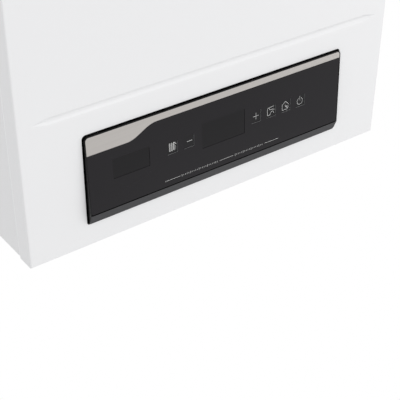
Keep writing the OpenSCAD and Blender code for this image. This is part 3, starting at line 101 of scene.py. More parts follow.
def addLight(name, place, size, power):
    bpy.ops.object.light_add(type="AREA", location=place)
    light = bpy.context.object
    light.name = name
    light.data.shape = "DISK"
    light.data.size = size
    light.data.energy = power
    aim(light, studio["lightsAim"])


def seenByCamera(tree, lit, seen, out):        # pure white behind the boiler, whatever lights it
    path = tree.nodes.new("ShaderNodeLightPath")
    mix = tree.nodes.new("ShaderNodeMixShader")
    tree.links.new(path.outputs["Is Camera Ray"], mix.inputs["Fac"])
    tree.links.new(lit.outputs[0], mix.inputs[1])
    tree.links.new(seen.outputs[0], mix.inputs[2])
    tree.links.new(mix.outputs[0], out.inputs["Surface"])


def buildStudio(s):
    bpy.ops.object.select_all(action="DESELECT")
    bpy.ops.object.camera_add(location=s["cameraPlace"],
                              rotation=[math.radians(a) for a in s["cameraTurn"]])
    camera = bpy.context.object
    camera.data.lens = s["lens"]
    camera.data.sensor_width = s["sensor"]
    camera.data.clip_end = s["farthestSeen"]
    bpy.context.scene.camera = camera
    bpy.context.scene.view_settings.view_transform = "Standard"
    addLight("keyLight", s["keyPlace"], s["keySize"], s["keyPower"])
    addLight("fillLight", s["fillPlace"], s["fillSize"], s["fillPower"])

    world = bpy.data.worlds.new("softRoom")
    bpy.context.scene.world = world
    world.use_nodes = True
    tree = world.node_tree
    tree.nodes.clear()
    lit = tree.nodes.new("ShaderNodeBackground")
    lit.inputs["Strength"].default_value = s["skyLight"]
    seen = tree.nodes.new("ShaderNodeBackground")
    seen.inputs["Strength"].default_value = s["seenWhite"]
    lit.inputs["Color"].default_value = s["skyColour"]
    seen.inputs["Color"].default_value = (1, 1, 1, 1)
    seenByCamera(tree, lit, seen, tree.nodes.new("ShaderNodeOutputWorld"))

    bpy.ops.mesh.primitive_plane_add(size=s["floorSize"], location=(0, 0, s["floorHeight"]))
    floor = bpy.context.object
    floor.name = "paleFloor"
    paper = bpy.data.materials.new("palePaper")
    paper.use_nodes = True
    shader = paper.node_tree.nodes["Principled BSDF"]
    shader.inputs["Base Color"].default_value = (s["floorTone"],) * 3 + (1,)
    shader.inputs["Roughness"].default_value = s["floorRoughness"]
    glow = paper.node_tree.nodes.new("ShaderNodeEmission")
    glow.inputs["Strength"].default_value = s["seenWhite"]
    seenByCamera(paper.node_tree, shader, glow, paper.node_tree.nodes["Material Output"])
    floor.data.materials.append(paper)


buildStudio(studio)
print("studio ready")


# Shader maths

class Wire:                                   # a number or colour on its way through a material
    def __init__(self, sheet, socket):
        self.sheet = sheet
        self.socket = socket

    def sum(self, operation, first, second):
        return self.sheet.add("ShaderNodeMath", {"operation": operation}, {0: first, 1: second})

    def __add__(self, other):
        return self.sum("ADD", self, other)

    def __sub__(self, other):
        return self.sum("SUBTRACT", self, other)

    def __rsub__(self, other):
        return self.sum("SUBTRACT", other, self)

    def __mul__(self, other):
        return self.sum("MULTIPLY", self, other)


class Sheet:                                  # one material being painted
    def __init__(self, name):
        self.material = bpy.data.materials.new(name)
        self.material.use_nodes = True
        self.tree = self.material.node_tree
        self.shader = self.tree.nodes["Principled BSDF"]
        self.place = self.add("ShaderNodeTexCoord", {}, {}, "Object")

    def add(self, kind, settings, values, out=0):
        node = self.tree.nodes.new(kind)
        for key, value in settings.items():
            if key == "stops":
                self.setStops(node.color_ramp, value)
            else:
                setattr(node, key, value)
        for key, value in values.items():
            self.feed(node.inputs[key], value)
        return Wire(self, node.outputs[out])

    def setStops(self, ramp, stops):
        while len(ramp.elements) < len(stops):
            ramp.elements.new(0.5)
        for element, (spot, colour) in zip(ramp.elements, stops):
            element.position = spot
            element.color = (*colour, 1)

    def feed(self, socket, value):
        if isinstance(value, Wire):
            self.tree.links.new(value.socket, socket)
        elif isinstance(value, tuple) and len(value) == 3 and socket.type == "RGBA":
            socket.default_value = (*value, 1)
        else:
            socket.default_value = value

    def noise(self, scale, detail, stretch=(1, 1, 1)):   # scale: lumps in a metre
        where = self.add("ShaderNodeMapping", {}, {"Vector": self.place, "Scale": stretch})
        return self.add("ShaderNodeTexNoise", {}, {"Vector": where, "Scale": scale, "Detail": detail})

    def cells(self, scale, feature="F1", out="Distance"):   # scale: cells in a metre
        return self.add("ShaderNodeTexVoronoi", {"feature": feature},
                        {"Vector": self.place, "Scale": scale}, out)

    def between(self, factor, low, high):      # a number from low to high
        return factor * (high - low) + low

    def mixColour(self, factor, first, second):
        return self.add("ShaderNodeMix", {"data_type": "RGBA"}, {0: factor, 6: first, 7: second}, 2)

    def along(self, way):                      # how far a point lies along a direction, in metres
        return self.add("ShaderNodeVectorMath", {"operation": "DOT_PRODUCT"},
                        {0: self.place, 1: tuple(way)}, "Value")

    def step(self, value, edge):               # 0 below the edge, 1 above it
        return self.add("ShaderNodeMath", {"operation": "GREATER_THAN"}, {0: value, 1: edge})

    def inside(self, value, low, high):        # 1 between low and high, 0 elsewhere
        return self.step(value, low) * (1 - self.step(value, high))

    def bump(self, height, depth, strength):   # depth in metres
        return self.add("ShaderNodeBump", {}, {
            "Height": height, "Distance": depth, "Strength": strength}, "Normal")

    def set(self, **values):
        names = {"colour": "Base Color", "roughness": "Roughness", "metallic": "Metallic",
                 "normal": "Normal", "coat": "Coat Weight", "coatRoughness": "Coat Roughness",
                 "ior": "IOR", "transmission": "Transmission Weight", "specular": "Specular IOR Level"}
        for key, value in values.items():
            self.feed(self.shader.inputs[names[key]], value)
        return self.material


def shade(colour, factor):
    return tuple(c * factor for c in colour)


# Control panel: its outward direction, the way up its tilted face, and where its finishes, painted
# highlights and painted shade change

panelEdges = {                                 # metres
    "lipBelow": 0.00105,     # from the fascia's lower edge down to the grey of the lip; the groove above it keeps the frame's black as painted shade
    "lipInset": 0.0003,      # the grey stops this far from the bezel's ends
    "keyAside": 0.001,       # the paler walls (cut edge and painted highlight) are looked for this far beside the keys
    "keyReach": 0.009,       # and this far above and below the middle of their row
    "wallDepth": 0.00008,    # what lies further back than this behind the fascia's face is a wall
}


def keySpan(first, last):
    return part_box(first)[0].x - panelEdges["keyAside"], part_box(last)[1].x + panelEdges["keyAside"]


panelNormal = -Vector(next(j["axis"] for j in frame["joints"] if j["name"] == "power_press"))
panelUp = Vector((1, 0, 0)).cross(-panelNormal)
panelFace = max(v.co.dot(panelNormal) for v in nodes["fascia_plate"].data.vertices)
keyUps = [v.co.dot(panelUp) for v in nodes["key_power"].data.vertices]
keyRow = (min(keyUps) + max(keyUps)) / 2
fasciaLow = min(v.co.dot(panelUp) for v in nodes["fascia_plate"].data.vertices)
bezelSide = max(v.co.x for v in nodes["fascia_bezel"].data.vertices)
leftKeys = keySpan("key_heating", "key_minus")
rightKeys = keySpan("key_plus", "key_power")


# Finishes, one function for each kind

def powderCoat(name, colour, roughness, peel=0.00003):
    s = Sheet(name)
    cloud = s.noise(3.0, 3)
    peelHeight = s.noise(430, 2) * 0.9 + s.noise(1500, 1) * 0.1
    return s.set(
        colour=s.mixColour(cloud, shade(colour, 0.985), shade(colour, 1.015)),
        roughness=s.between(s.noise(900, 2), roughness - 0.04, roughness + 0.04),
        normal=s.bump(peelHeight, peel, 0.2),
        coat=s.between(cloud, 0.12, 0.2), coatRoughness=0.25)


def zincSheet(name, colour):                   # spangled galvanised steel
    s = Sheet(name)
    spangle = s.add("ShaderNodeSeparateColor", {}, {"Color": s.cells(85, out="Color")})
    fine = s.noise(600, 3)
    tone = spangle * 0.75 + fine * 0.25
    return s.set(
        colour=s.mixColour(tone, shade(colour, 0.8), shade(colour, 1.12)),
        metallic=0.9, roughness=s.between(tone, 0.34, 0.52),
        normal=s.bump(s.noise(900, 3), 0.00002, 0.3))


def brushedMetal(name, colour, roughness, along):   # along: the brush marks' size each way, millimetres
    s = Sheet(name)
    scale = 26
    lines = s.noise(scale, 4, tuple(1000 / scale / a for a in along))
    stain = s.noise(18, 3)
    return s.set(
        colour=s.mixColour(stain, shade(colour, 0.86), shade(colour, 1.08)),
        metallic=1.0, roughness=s.between(lines, roughness - 0.08, roughness + 0.1),
        normal=s.bump(lines, 0.00001, 0.3))


def warmMetal(name, colour, dark, roughness, grain=220):   # copper and brass with a thin tarnish
    s = Sheet(name)
    cloud = s.noise(26, 4)
    tarnish = s.add("ShaderNodeValToRGB", {"stops": [(0.38, (0, 0, 0)), (0.72, (1, 1, 1))]}, {"Fac": cloud})
    return s.set(
        colour=s.mixColour(tarnish, colour, dark), metallic=1.0,
        roughness=s.between(s.noise(grain, 3), roughness - 0.07, roughness + 0.12),
        normal=s.bump(s.noise(grain * 3, 2), 0.00002, 0.35))


def moulded(name, colour, roughness, grain=0.00002, grainScale=2200):   # plastic with a spark-eroded grain
    s = Sheet(name)
    fine = s.noise(grainScale, 2)
    return s.set(
        colour=s.mixColour(s.noise(40, 3), shade(colour, 0.94), shade(colour, 1.06)),
        roughness=s.between(fine, roughness - 0.06, roughness + 0.06),
        normal=s.bump(fine, grain, 0.5))


def glossy(name, colour, roughness, specular=0.5):
    s = Sheet(name)
    cloud = s.noise(9, 3)
    return s.set(
        colour=s.mixColour(cloud, shade(colour, 0.93), shade(colour, 1.07)),
        roughness=s.between(s.noise(120, 3), roughness, roughness + 0.03),
        normal=s.bump(s.noise(60, 2), 0.00001, 0.06), specular=specular)


def bezelPlastic(name, frameBlack, lipGreyAndSheen):   # gloss black frame; its lower lip paler grey, partly a satin grain, partly a painted highlight for the light the lip catches
    s = Sheet(name)
    lipSide = bezelSide - panelEdges["lipInset"]
    betweenSides = s.inside(s.along((1, 0, 0)), -lipSide, lipSide)
    onLip = s.inside(s.along(panelUp), -1, fasciaLow - panelEdges["lipBelow"]) * betweenSides
    fine = s.noise(2200, 2)
    cloud = s.noise(40, 3)
    black = s.mixColour(cloud, shade(frameBlack, 0.9), shade(frameBlack, 1.1))
    grey = s.mixColour(cloud, shade(lipGreyAndSheen, 0.95), shade(lipGreyAndSheen, 1.05))
    return s.set(
        colour=s.mixColour(onLip, black, grey), roughness=s.between(onLip, 0.24, 0.46) + fine * 0.05,
        normal=s.bump(fine, 0.00002, 0.5), specular=0.15)


def fasciaGlass(name, colour, roughness, specular, wall):   # dark sheet; the walls of its key holes are painted paler, partly their cut edge, partly a painted highlight for the light they catch
    s = Sheet(name)
    depth = panelFace - s.along(panelNormal)
    side = s.along((1, 0, 0))
    byKeys = s.inside(side, *leftKeys) + s.inside(side, *rightKeys)
    inRow = s.inside(s.along(panelUp), keyRow - panelEdges["keyReach"], keyRow + panelEdges["keyReach"])
    keyWallHighlight = byKeys * s.step(depth, panelEdges["wallDepth"]) * inRow
    cloud = s.noise(9, 3)
    base = s.mixColour(cloud, shade(colour, 0.93), shade(colour, 1.07))
    return s.set(
        colour=s.mixColour(keyWallHighlight, base, wall),
        roughness=s.between(s.noise(120, 3), roughness, roughness + 0.03),
        normal=s.bump(s.noise(60, 2), 0.00001, 0.06), specular=specular)


def satinTrim(name, colour):
    s = Sheet(name)
    lines = s.noise(16, 3, (1, 60, 60))
    return s.set(
        colour=s.mixColour(lines, shade(colour, 0.94), shade(colour, 1.06)),
        metallic=0.35, roughness=s.between(lines, 0.34, 0.46),
        normal=s.bump(lines, 0.000005, 0.3))


def castMetal(name, colour, roughness, metallic, depth=0.00012):
    s = Sheet(name)
    lumps = s.noise(260, 4) * 0.7 + s.noise(1100, 2) * 0.3
    return s.set(
        colour=s.mixColour(s.noise(30, 3), shade(colour, 0.85), shade(colour, 1.15)),
        metallic=metallic, roughness=s.between(lumps, roughness - 0.08, roughness + 0.12),
        normal=s.bump(lumps, depth, 0.5))


def fibreBoard(name, colour):
    s = Sheet(name)
    fluff = s.noise(380, 6) * 0.6 + s.noise(70, 5, (1, 3, 1)) * 0.4
    return s.set(
        colour=s.mixColour(fluff, shade(colour, 0.8), shade(colour, 1.05)),
        roughness=0.95, normal=s.bump(fluff, 0.0004, 0.7))


def circuitBoard(name, colour):
    s = Sheet(name)
    tracks = s.cells(240, "DISTANCE_TO_EDGE")
    mask = s.add("ShaderNodeMath", {"operation": "LESS_THAN"}, {0: tracks, 1: 0.16})
    return s.set(
        colour=s.mixColour(mask, colour, shade(colour, 2.0)),
        roughness=s.between(mask, 0.32, 0.42), normal=s.bump(mask, 0.00004, 0.4))


def laminated(name, colour):                   # stacked steel sheets, seen as fine lines
    s = Sheet(name)
    sheets = s.add("ShaderNodeTexWave", {"bands_direction": "Y"}, {
        "Vector": s.place, "Scale": 320, "Distortion": 0.1})
    return s.set(
        colour=s.mixColour(sheets, shade(colour, 0.6), colour), metallic=0.85,
        roughness=0.45, normal=s.bump(sheets, 0.0001, 0.5))


def clearGlass(name, colour):
    s = Sheet(name)
    return s.set(
        colour=s.mixColour(s.noise(50, 2), shade(colour, 0.95), colour), roughness=0.04,
        transmission=0.85, ior=1.47)


def printedInk(name, dark, pale):
    s = Sheet(name)
    return s.set(colour=s.mixColour(s.noise(900, 2), dark, pale), roughness=0.55)


finishes = {
    "cover_white": powderCoat("coverWhite", (0.84, 0.84, 0.842), 0.38),
    "side_white": powderCoat("sideWhite", (0.826, 0.826, 0.826), 0.42),
    # paler than the side panels: painted highlight for the seam strips
    "seal_white": powderCoat("sealWhite", (0.975, 0.975, 0.98), 0.4),
    "galvanised": zincSheet("galvanisedSheet", (0.62, 0.63, 0.65)),
    # the lip's grey: partly satin plastic, partly painted highlight
    "bezel_plastic": bezelPlastic("bezelBlack", (0.0025, 0.0025, 0.0028), (0.052, 0.052, 0.0545)),
    # the fascia's last colour is its key-hole walls: partly cut edge, partly painted highlight
    "fascia_gloss": fasciaGlass("fasciaGloss", (0.0094, 0.0082, 0.0100), 0.10, 0.26, (0.22, 0.22, 0.225)),
    "trim_metal": satinTrim("champagneTrim", (0.50, 0.475, 0.45)),
    "lens_dark": glossy("smokedWindow", (0.0065, 0.0058, 0.0068), 0.12, 0.24),
    "key_gloss": glossy("keyGloss", (0.008, 0.0075, 0.0085), 0.14, 0.26),
    "board_green": circuitBoard("boardGreen", (0.012, 0.085, 0.035)),
    "box_grey": moulded("boxGrey", (0.10, 0.105, 0.11), 0.5, 0.00003, 1500),
    "screw_steel": brushedMetal("platedSteel", (0.58, 0.58, 0.56), 0.3, (10, 10, 10)),
    "burner_steel": brushedMetal("stainlessSheet", (0.48, 0.47, 0.45), 0.34, (40, 40, 1)),
    "sight_glass": clearGlass("sightGlass", (0.80, 0.87, 0.85)),
    "fibre": fibreBoard("ceramicFibre", (0.86, 0.83, 0.77)),
    "copper": warmMetal("copper", (0.80, 0.40, 0.25), (0.46, 0.20, 0.11), 0.28),
    "brass": warmMetal("brass", (0.72, 0.56, 0.27), (0.48, 0.35, 0.15), 0.34, 300),
    "ceramic": glossy("glazedCeramic", (0.86, 0.85, 0.80), 0.18),
    "motor_steel": laminated("motorStack", (0.42, 0.43, 0.45)),
    "switch_plastic": moulded("switchCream", (0.74, 0.74, 0.70), 0.42),
    "gasket_rubber": moulded("gasketRubber", (0.035, 0.035, 0.037), 0.72, 0.00004, 900),
    "collar_white": powderCoat("collarWhite", (0.78, 0.78, 0.78), 0.34),
    "vessel_red": powderCoat("vesselRed", (0.46, 0.028, 0.02), 0.3, 0.00006),
    "pump_iron": castMetal("pumpIron", (0.035, 0.038, 0.048), 0.5, 0.0, 0.0002),
    "impeller_plastic": moulded("impellerBeige", (0.60, 0.57, 0.45), 0.4),
    "pump_red": powderCoat("pumpRed", (0.38, 0.03, 0.03), 0.36, 0.00008),
    "plates_steel": brushedMetal("brazedPlates", (0.58, 0.53, 0.46), 0.3, (40, 40, 1)),
    "gas_yellow": powderCoat("gasYellow", (0.68, 0.52, 0.05), 0.36, 0.00006),
    "gas_alloy": castMetal("dieCastAlloy", (0.55, 0.56, 0.58), 0.42, 0.9),
    "knob_red": moulded("knobRed", (0.48, 0.02, 0.02), 0.34, 0.00001),
    "knob_black": moulded("knobBlack", (0.03, 0.032, 0.036), 0.42),
    "print_white": printedInk("printedInk", (0.76, 0.76, 0.75), (0.86, 0.86, 0.84)),
}

slotOf = {part["node"]: part["material_slot"] for part in frame["record"]["subparts"]}
for nodeName, nodeObject in nodes.items():
    nodeObject.data.materials.clear()
    nodeObject.data.materials.append(finishes[slotOf[nodeName]])
print("finishes ready:", len(finishes))


# Modelling helpers

clean = {"weld": 0.00001, "flat": 0.4}         # metres between points to join, degrees that count as flat


def useOnly(piece):
    bpy.ops.object.select_all(action="DESELECT")
    piece.select_set(True)
    bpy.context.view_layer.objects.active = piece


def modify(piece, kind, **settings):
    useOnly(piece)
    modifier = piece.modifiers.new(kind.lower(), kind)
    for key, value in settings.items():
        setattr(modifier, key, value)
    bpy.ops.object.modifier_apply(modifier=modifier.name)


def pickEdges(piece, test):
    useOnly(piece)
    bpy.ops.object.mode_set(mode="EDIT")
    bpy.ops.mesh.select_mode(type="EDGE")
    bpy.ops.mesh.select_all(action="DESELECT")
    bpy.ops.object.mode_set(mode="OBJECT")
    points = piece.data.vertices
    for edge in piece.data.edges:
        edge.select = test(points[edge.vertices[0]].co, points[edge.vertices[1]].co)
    bpy.ops.object.mode_set(mode="EDIT")


def settle(piece):                             # put the object's place into its mesh
    useOnly(piece)
    bpy.ops.object.transform_apply(location=True, rotation=True, scale=True)


def turnOut(piece):                            # a closed shell whose faces point inwards is turned round
    volume = sum(face.area * face.normal.dot(face.center) for face in piece.data.polygons)
    if volume < 0:
        useOnly(piece)
        bpy.ops.object.mode_set(mode="EDIT")
        bpy.ops.mesh.select_all(action="SELECT")
        bpy.ops.mesh.flip_normals()
        bpy.ops.object.mode_set(mode="OBJECT")


def finishPiece(piece, body, slotName, smooth=40):
    useOnly(piece)
    bpy.ops.object.shade_smooth_by_angle(angle=math.radians(smooth))
    piece.data.materials.clear()
    piece.data.materials.append(finishes[slotName])
    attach(piece, body)


def cleanCopy(node, name):
    piece = bpy.data.objects.new(name, nodes[node].data.copy())
    bpy.context.scene.collection.objects.link(piece)
    useOnly(piece)
    bpy.ops.object.mode_set(mode="EDIT")
    bpy.ops.mesh.select_all(action="SELECT")
    bpy.ops.mesh.remove_doubles(threshold=clean["weld"])
    bpy.ops.mesh.dissolve_limited(angle_limit=math.radians(clean["flat"]))
    bpy.ops.object.mode_set(mode="OBJECT")
    return piece


def breakEdges(piece, radius, steps=3, angle=38):
    modify(piece, "BEVEL", width=radius * mm, segments=steps, limit_method="ANGLE",
           angle_limit=math.radians(angle), use_clamp_overlap=False, loop_slide=False)


def evenShading(piece):                        # flat faces stay flat beside their broken edges
    modify(piece, "WEIGHTED_NORMAL", keep_sharp=True, weight=80)


def softened(node, name, radius):
    piece = cleanCopy(node, name)
    if radius:
        breakEdges(piece, radius)
    finishPiece(piece, nodes[node]["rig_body"], slotOf[node])
    evenShading(piece)
    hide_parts(node)


# Pressed sheet and mouldings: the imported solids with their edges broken

edgeRadius = {                                 # millimetres
    "wall_bracket": 0.5, "side_left": 0.4, "side_right": 0.4, "top_plate": 0.25, "bottom_tray": 0.25,
    "display_lens": 0.12, "status_lens": 0.12, "back_frame": 0.25, "sealed_chamber": 0.2,
    "key_heating": 0.2, "key_minus": 0.2, "key_plus": 0.2, "key_water": 0.14, "key_home": 0.2,
    "key_power": 0.2, "control_box": 0.3, "control_lid": 0.4, "chamber_door": 0.3, "collar_gasket": 0.3,
    "sight_glass": 0.3, "relief_knob": 0.5, "fill_knob": 0.5, "gas_valve": 0.8, "air_vent": 0.6,
    "air_switch": 0.3, "pump_housing": 0.25, "pump_motor": 0.9, "burner_rack": 0.2, "combustion_box": 0.15,
    "fan_housing": 0.2, "flue_hood": 0.2, "diverter_spindle": 0.2,
}
ownShapes = ("front_cover", "pipe_stubs", "cover_screws", "panel_screws")   # each built further down


def dressNodes():
    for node in nodes:
        if node not in ownShapes:
            softened(node, node + "Shape", edgeRadius.get(node, 0))


dressNodes()
print("solids dressed")


# Pipe connections: chamfered nuts over threads cut into the brass

stub = {                                       # millimetres
    "pitch": 1.814,
    "depth": 1.16,
    "root": 0.15,            # how far the ridge's base reaches into the pipe
    "low": 1.8,              # from the pipe's end up to the thread
    "edge": 0.5,
    "near": 0.1,             # points this near to the pipe's radius lie on its wall
    "halfRidge": 0.46,       # in pitches
    "turns": 11,
    "steps": 24,             # in each turn
    "runOut": 8,             # in steps
}


def buildRidge(name, foot, radius, s):         # a three-cornered profile, wound up the pipe from its foot
    rootRadius = radius - s["depth"] - s["root"]
    profile = [(rootRadius, -s["halfRidge"]), (radius, 0), (rootRadius, s["halfRidge"])]
    corners = len(profile)
    bpy.ops.object.select_all(action="DESELECT")
    bpy.ops.mesh.primitive_circle_add(vertices=corners, radius=mm, fill_type="NOTHING")
    ridge = bpy.context.object
    ridge.name = name
    for point, (out, rise) in zip(ridge.data.vertices, profile):
        point.co = (out * mm, 0, rise * s["pitch"] * mm)
    modify(ridge, "SCREW", axis="Z", angle=2 * math.pi, screw_offset=s["pitch"] * mm, iterations=s["turns"],
           steps=s["steps"], render_steps=s["steps"], use_merge_vertices=False)
    last = s["turns"] * s["steps"]
    for index, point in enumerate(ridge.data.vertices):   # the ridge runs out at both ends
        step = index // corners
        share = min(1, step / s["runOut"], (last - step) / s["runOut"])
        flat = Vector((point.co.x, point.co.y, 0))
        reach = rootRadius * mm + (flat.length - rootRadius * mm) * share
        point.co = flat.normalized() * reach + Vector((0, 0, point.co.z))
    useOnly(ridge)
    bpy.ops.object.mode_set(mode="EDIT")
    bpy.ops.mesh.select_all(action="SELECT")
    bpy.ops.mesh.fill_holes(sides=corners)
    bpy.ops.mesh.select_all(action="SELECT")
    bpy.ops.mesh.normals_make_consistent(inside=False)
    bpy.ops.object.mode_set(mode="OBJECT")
    ridge.location = foot + Vector((0, 0, s["low"] * mm))
    settle(ridge)
    turnOut(ridge)
    finishPiece(ridge, "casing", "brass", smooth=30)


def thinPipe(piece, foot, radius, length, s):  # its threaded length goes down to the thread's root
    for point in piece.data.vertices:
        out = Vector((point.co.x - foot.x, point.co.y - foot.y, 0))
        onPipe = abs(out.length - radius * mm) < s["near"] * mm
        if onPipe and point.co.z < foot.z + (length + s["near"]) * mm:
            point.co -= out.normalized() * s["depth"] * mm


def buildStubs(s):
    piece = cleanCopy("pipe_stubs", "pipe_stubsShape")
    pipes = [m for m in frame["record"]["mounts"] if m["kind"] == "pin" and m["axis"][2] < 0]
    for i, pipe in enumerate(pipes):
        foot = Vector(pipe["pos_m"])
        radius = pipe["dims"]["r_mm"]
        thinPipe(piece, foot, radius, pipe["dims"]["length_mm"], s)
        buildRidge("stubThread" + str(i + 1), foot, radius, s)
    breakEdges(piece, s["edge"], steps=2, angle=50)
    finishPiece(piece, "casing", "brass")
    evenShading(piece)
    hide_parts("pipe_stubs")


buildStubs(stub)
print("pipe connections ready")


# Screws: a cross recess cut into each head

recess = {                                     # millimetres
    "long": 4.2,
    "wide": 0.95,
    "deep": 1.3,
    "level": 0.02,           # points this near to the end lie on a head's top
    "headReach": 8,          # and points this near to each other lie on one head
    "doorBeyond": 170,       # the chamber door's screws stand further out than this from the middle
}


def addBar(place, lengths):
    bpy.ops.object.select_all(action="DESELECT")
    bpy.ops.mesh.primitive_cube_add(size=mm, location=place)
    bar = bpy.context.object
    bar.scale = lengths
    settle(bar)
    return bar


def crossBars(places, axis, s):                # two crossed bars at each head
    bars = []
    for place in places:
        for first, second in (("wide", "long"), ("long", "wide")):
            lengths = [s[first], s[second]]
            lengths.insert(axis, s["deep"] * 2)
            bars.append(addBar(place, lengths))
    return bars


def cutHeads(node, heads):
    piece = cleanCopy(node, node + "Shape")
    for places, axis in heads:
        for bar in crossBars(places, axis, recess):
            modify(piece, "BOOLEAN", operation="DIFFERENCE", solver="EXACT", object=bar)
            bpy.data.objects.remove(bar)
    finishPiece(piece, nodes[node]["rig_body"], slotOf[node])
    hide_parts(node)


def headMiddles(node, axis, end, beyond=0):    # the middles of the heads whose tops lie at one end
    points = [v.co for v in nodes[node].data.vertices]
    tops = [p for p in points if abs(p[axis] - end) < recess["level"] * mm and abs(p.x) >= beyond]
    groups = []
    for top in tops:
        near = next((g for g in groups if (g[0] - top).length < recess["headReach"] * mm), None)
        if near is None:
            groups.append([top])
        else:
            near.append(top)
    middles = []
    for group in groups:
        low = Vector([min(p[k] for p in group) for k in range(3)])
        high = Vector([max(p[k] for p in group) for k in range(3)])
        middles.append((low + high) / 2)
    return middles


def buildScrews():
    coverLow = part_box("cover_screws")[0]
    cutHeads("cover_screws", [(headMiddles("cover_screws", 2, coverLow.z), 2)])
    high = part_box("panel_screws")[1]
    beyond = recess["doorBeyond"] * mm
    doorTops = min(v.co.y for v in nodes["panel_screws"].data.vertices if abs(v.co.x) >= beyond)
    collarHeads = headMiddles("panel_screws", 2, high.z)
    doorHeads = headMiddles("panel_screws", 1, doorTops, beyond)
    cutHeads("panel_screws", [(collarHeads, 2), (doorHeads, 1)])
    print("panel screw heads cut:", len(collarHeads) + len(doorHeads))


buildScrews()
print("screws ready")


# Front cover: soft shoulders on the pressed bead, broken edges all round

cover = {                                      # millimetres
    "beadSoft": 0.7,
    "edge": 0.16,
    "frontDepth": 2,         # the bead is looked for this near to the front,
    "aboveBottom": 115,      # this far above the bottom
    "belowTop": 100,         # and this far below the top
    "beadReach": 6.0,        # its edges lie this near to its middle,
    "beadDepth": 1.5,        # this near to the front
    "beadHalfLength": 190,   # and this near to the cover's middle line
}


def buildCover(c):
    piece = cleanCopy("front_cover", "frontCoverShell")
    low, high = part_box("front_cover")
    lowest = low.z + c["aboveBottom"] * mm
    highest = high.z - c["belowTop"] * mm
    beads = [v.co.z for v in piece.data.vertices
             if abs(v.co.y - low.y) < c["frontDepth"] * mm and lowest < v.co.z < highest]
    middle = (min(beads) + max(beads)) / 2
    reach = c["beadReach"] * mm
    half = c["beadHalfLength"] * mm

    def onBead(a, b):
        return (abs(a.z - middle) < reach and abs(b.z - middle) < reach
                and max(a.y, b.y) < low.y + c["beadDepth"] * mm and abs(a.x) < half and abs(b.x) < half)

    pickEdges(piece, onBead)
    bpy.ops.mesh.bevel(offset=c["beadSoft"] * mm, segments=4, affect="EDGES", clamp_overlap=True)
    bpy.ops.object.mode_set(mode="OBJECT")
    breakEdges(piece, c["edge"], angle=50)
    finishPiece(piece, "cover", "cover_white")
    evenShading(piece)
    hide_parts("front_cover")


buildCover(cover)
print("cover ready")


# Pale strips in the seams between the side panels and the cover's flanges: painted paler than the sides, a
# painted highlight along each seam that also fills the seam's shade

seamHighlight = {                                       # millimetres
    "wide": 0.9,
    "thick": 0.96,
    "edge": 0.004,           # in from the side panel's outer face
    "ahead": 0.58,           # out in front of its front edge
    "round": 0.03,
    "lowGap": 0.5,
    "topGap": 5.0,           # keeps the strip clear of the cover's swing
}


# a pale strip filling the seam's shade, its paler paint a painted highlight
def buildSeamHighlight(side, s):
    low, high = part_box("side_left" if side < 0 else "side_right")
    outer = high.x if side > 0 else low.x
    bottom = low.z + s["lowGap"] * mm
    top = high.z - s["topGap"] * mm
    across = outer - side * (s["wide"] / 2 + s["edge"]) * mm
    deep = low.y + (s["thick"] / 2 - s["ahead"]) * mm
    bpy.ops.object.select_all(action="DESELECT")
    bpy.ops.mesh.primitive_cube_add(size=mm, location=(across, deep, (bottom + top) / 2))
    strip = bpy.context.object
    strip.name = "sealStripRight" if side > 0 else "sealStripLeft"
    strip.scale = (s["wide"], s["thick"], (top - bottom) / mm)
    settle(strip)
    breakEdges(strip, s["round"], steps=2, angle=70)
    finishPiece(strip, "casing", "seal_white")


for side in (-1, 1):
    buildSeamHighlight(side, seamHighlight)
print("seals ready")


# Printed marks: strokes drawn as curves, turned into thin raised ink

ink = {"thick": 0.03, "stroke": 0.52, "nearFace": 0.05}   # millimetres


def panelPlace(node):                          # the frame of a face on the panel: across, up, outward
    heights = [v.co.dot(panelNormal) for v in nodes[node].data.vertices]
    ups = [v.co.dot(panelUp) for v in nodes[node].data.vertices]
    sides = [v.co.x for v in nodes[node].data.vertices]
    face = max(heights)
    onFace = [i for i, h in enumerate(heights) if h > face - ink["nearFace"] * mm]
    up = (min(ups[i] for i in onFace) + max(ups[i] for i in onFace)) / 2
    side = (min(sides[i] for i in onFace) + max(sides[i] for i in onFace)) / 2
    return Matrix((
        (1, panelUp.x, panelNormal.x, side),
        (0, panelUp.y, panelNormal.y, panelUp.y * up + panelNormal.y * face),
        (0, panelUp.z, panelNormal.z, panelUp.z * up + panelNormal.z * face),
        (0, 0, 0, 1)))


def rounded(points, radius, closed=False, steps=4):    # a path with its corners turned into arcs
    count = len(points)
    share = 0.45                               # of a side that one corner may take
    path = []
    for i, spot in enumerate(points):
        here = Vector(spot)
        if not closed and i in (0, count - 1):
            path.append(here)
            continue
        before = Vector(points[i - 1]) - here
        after = Vector(points[(i + 1) % count]) - here
        cut = min(radius, before.length * share, after.length * share)
        start = here + before.normalized() * cut
        stop = here + after.normalized() * cut
        for k in range(steps + 1):
            t = k / steps
            path.append(start * (1 - t) ** 2 + here * 2 * t * (1 - t) + stop * t ** 2)
    return path


def arcPath(cx, cv, radius, fromAngle, toAngle, steps=28):
    angles = [math.radians(fromAngle + (toAngle - fromAngle) * k / steps) for k in range(steps + 1)]
    return [Vector((cx + radius * math.cos(a), cv + radius * math.sin(a))) for a in angles]


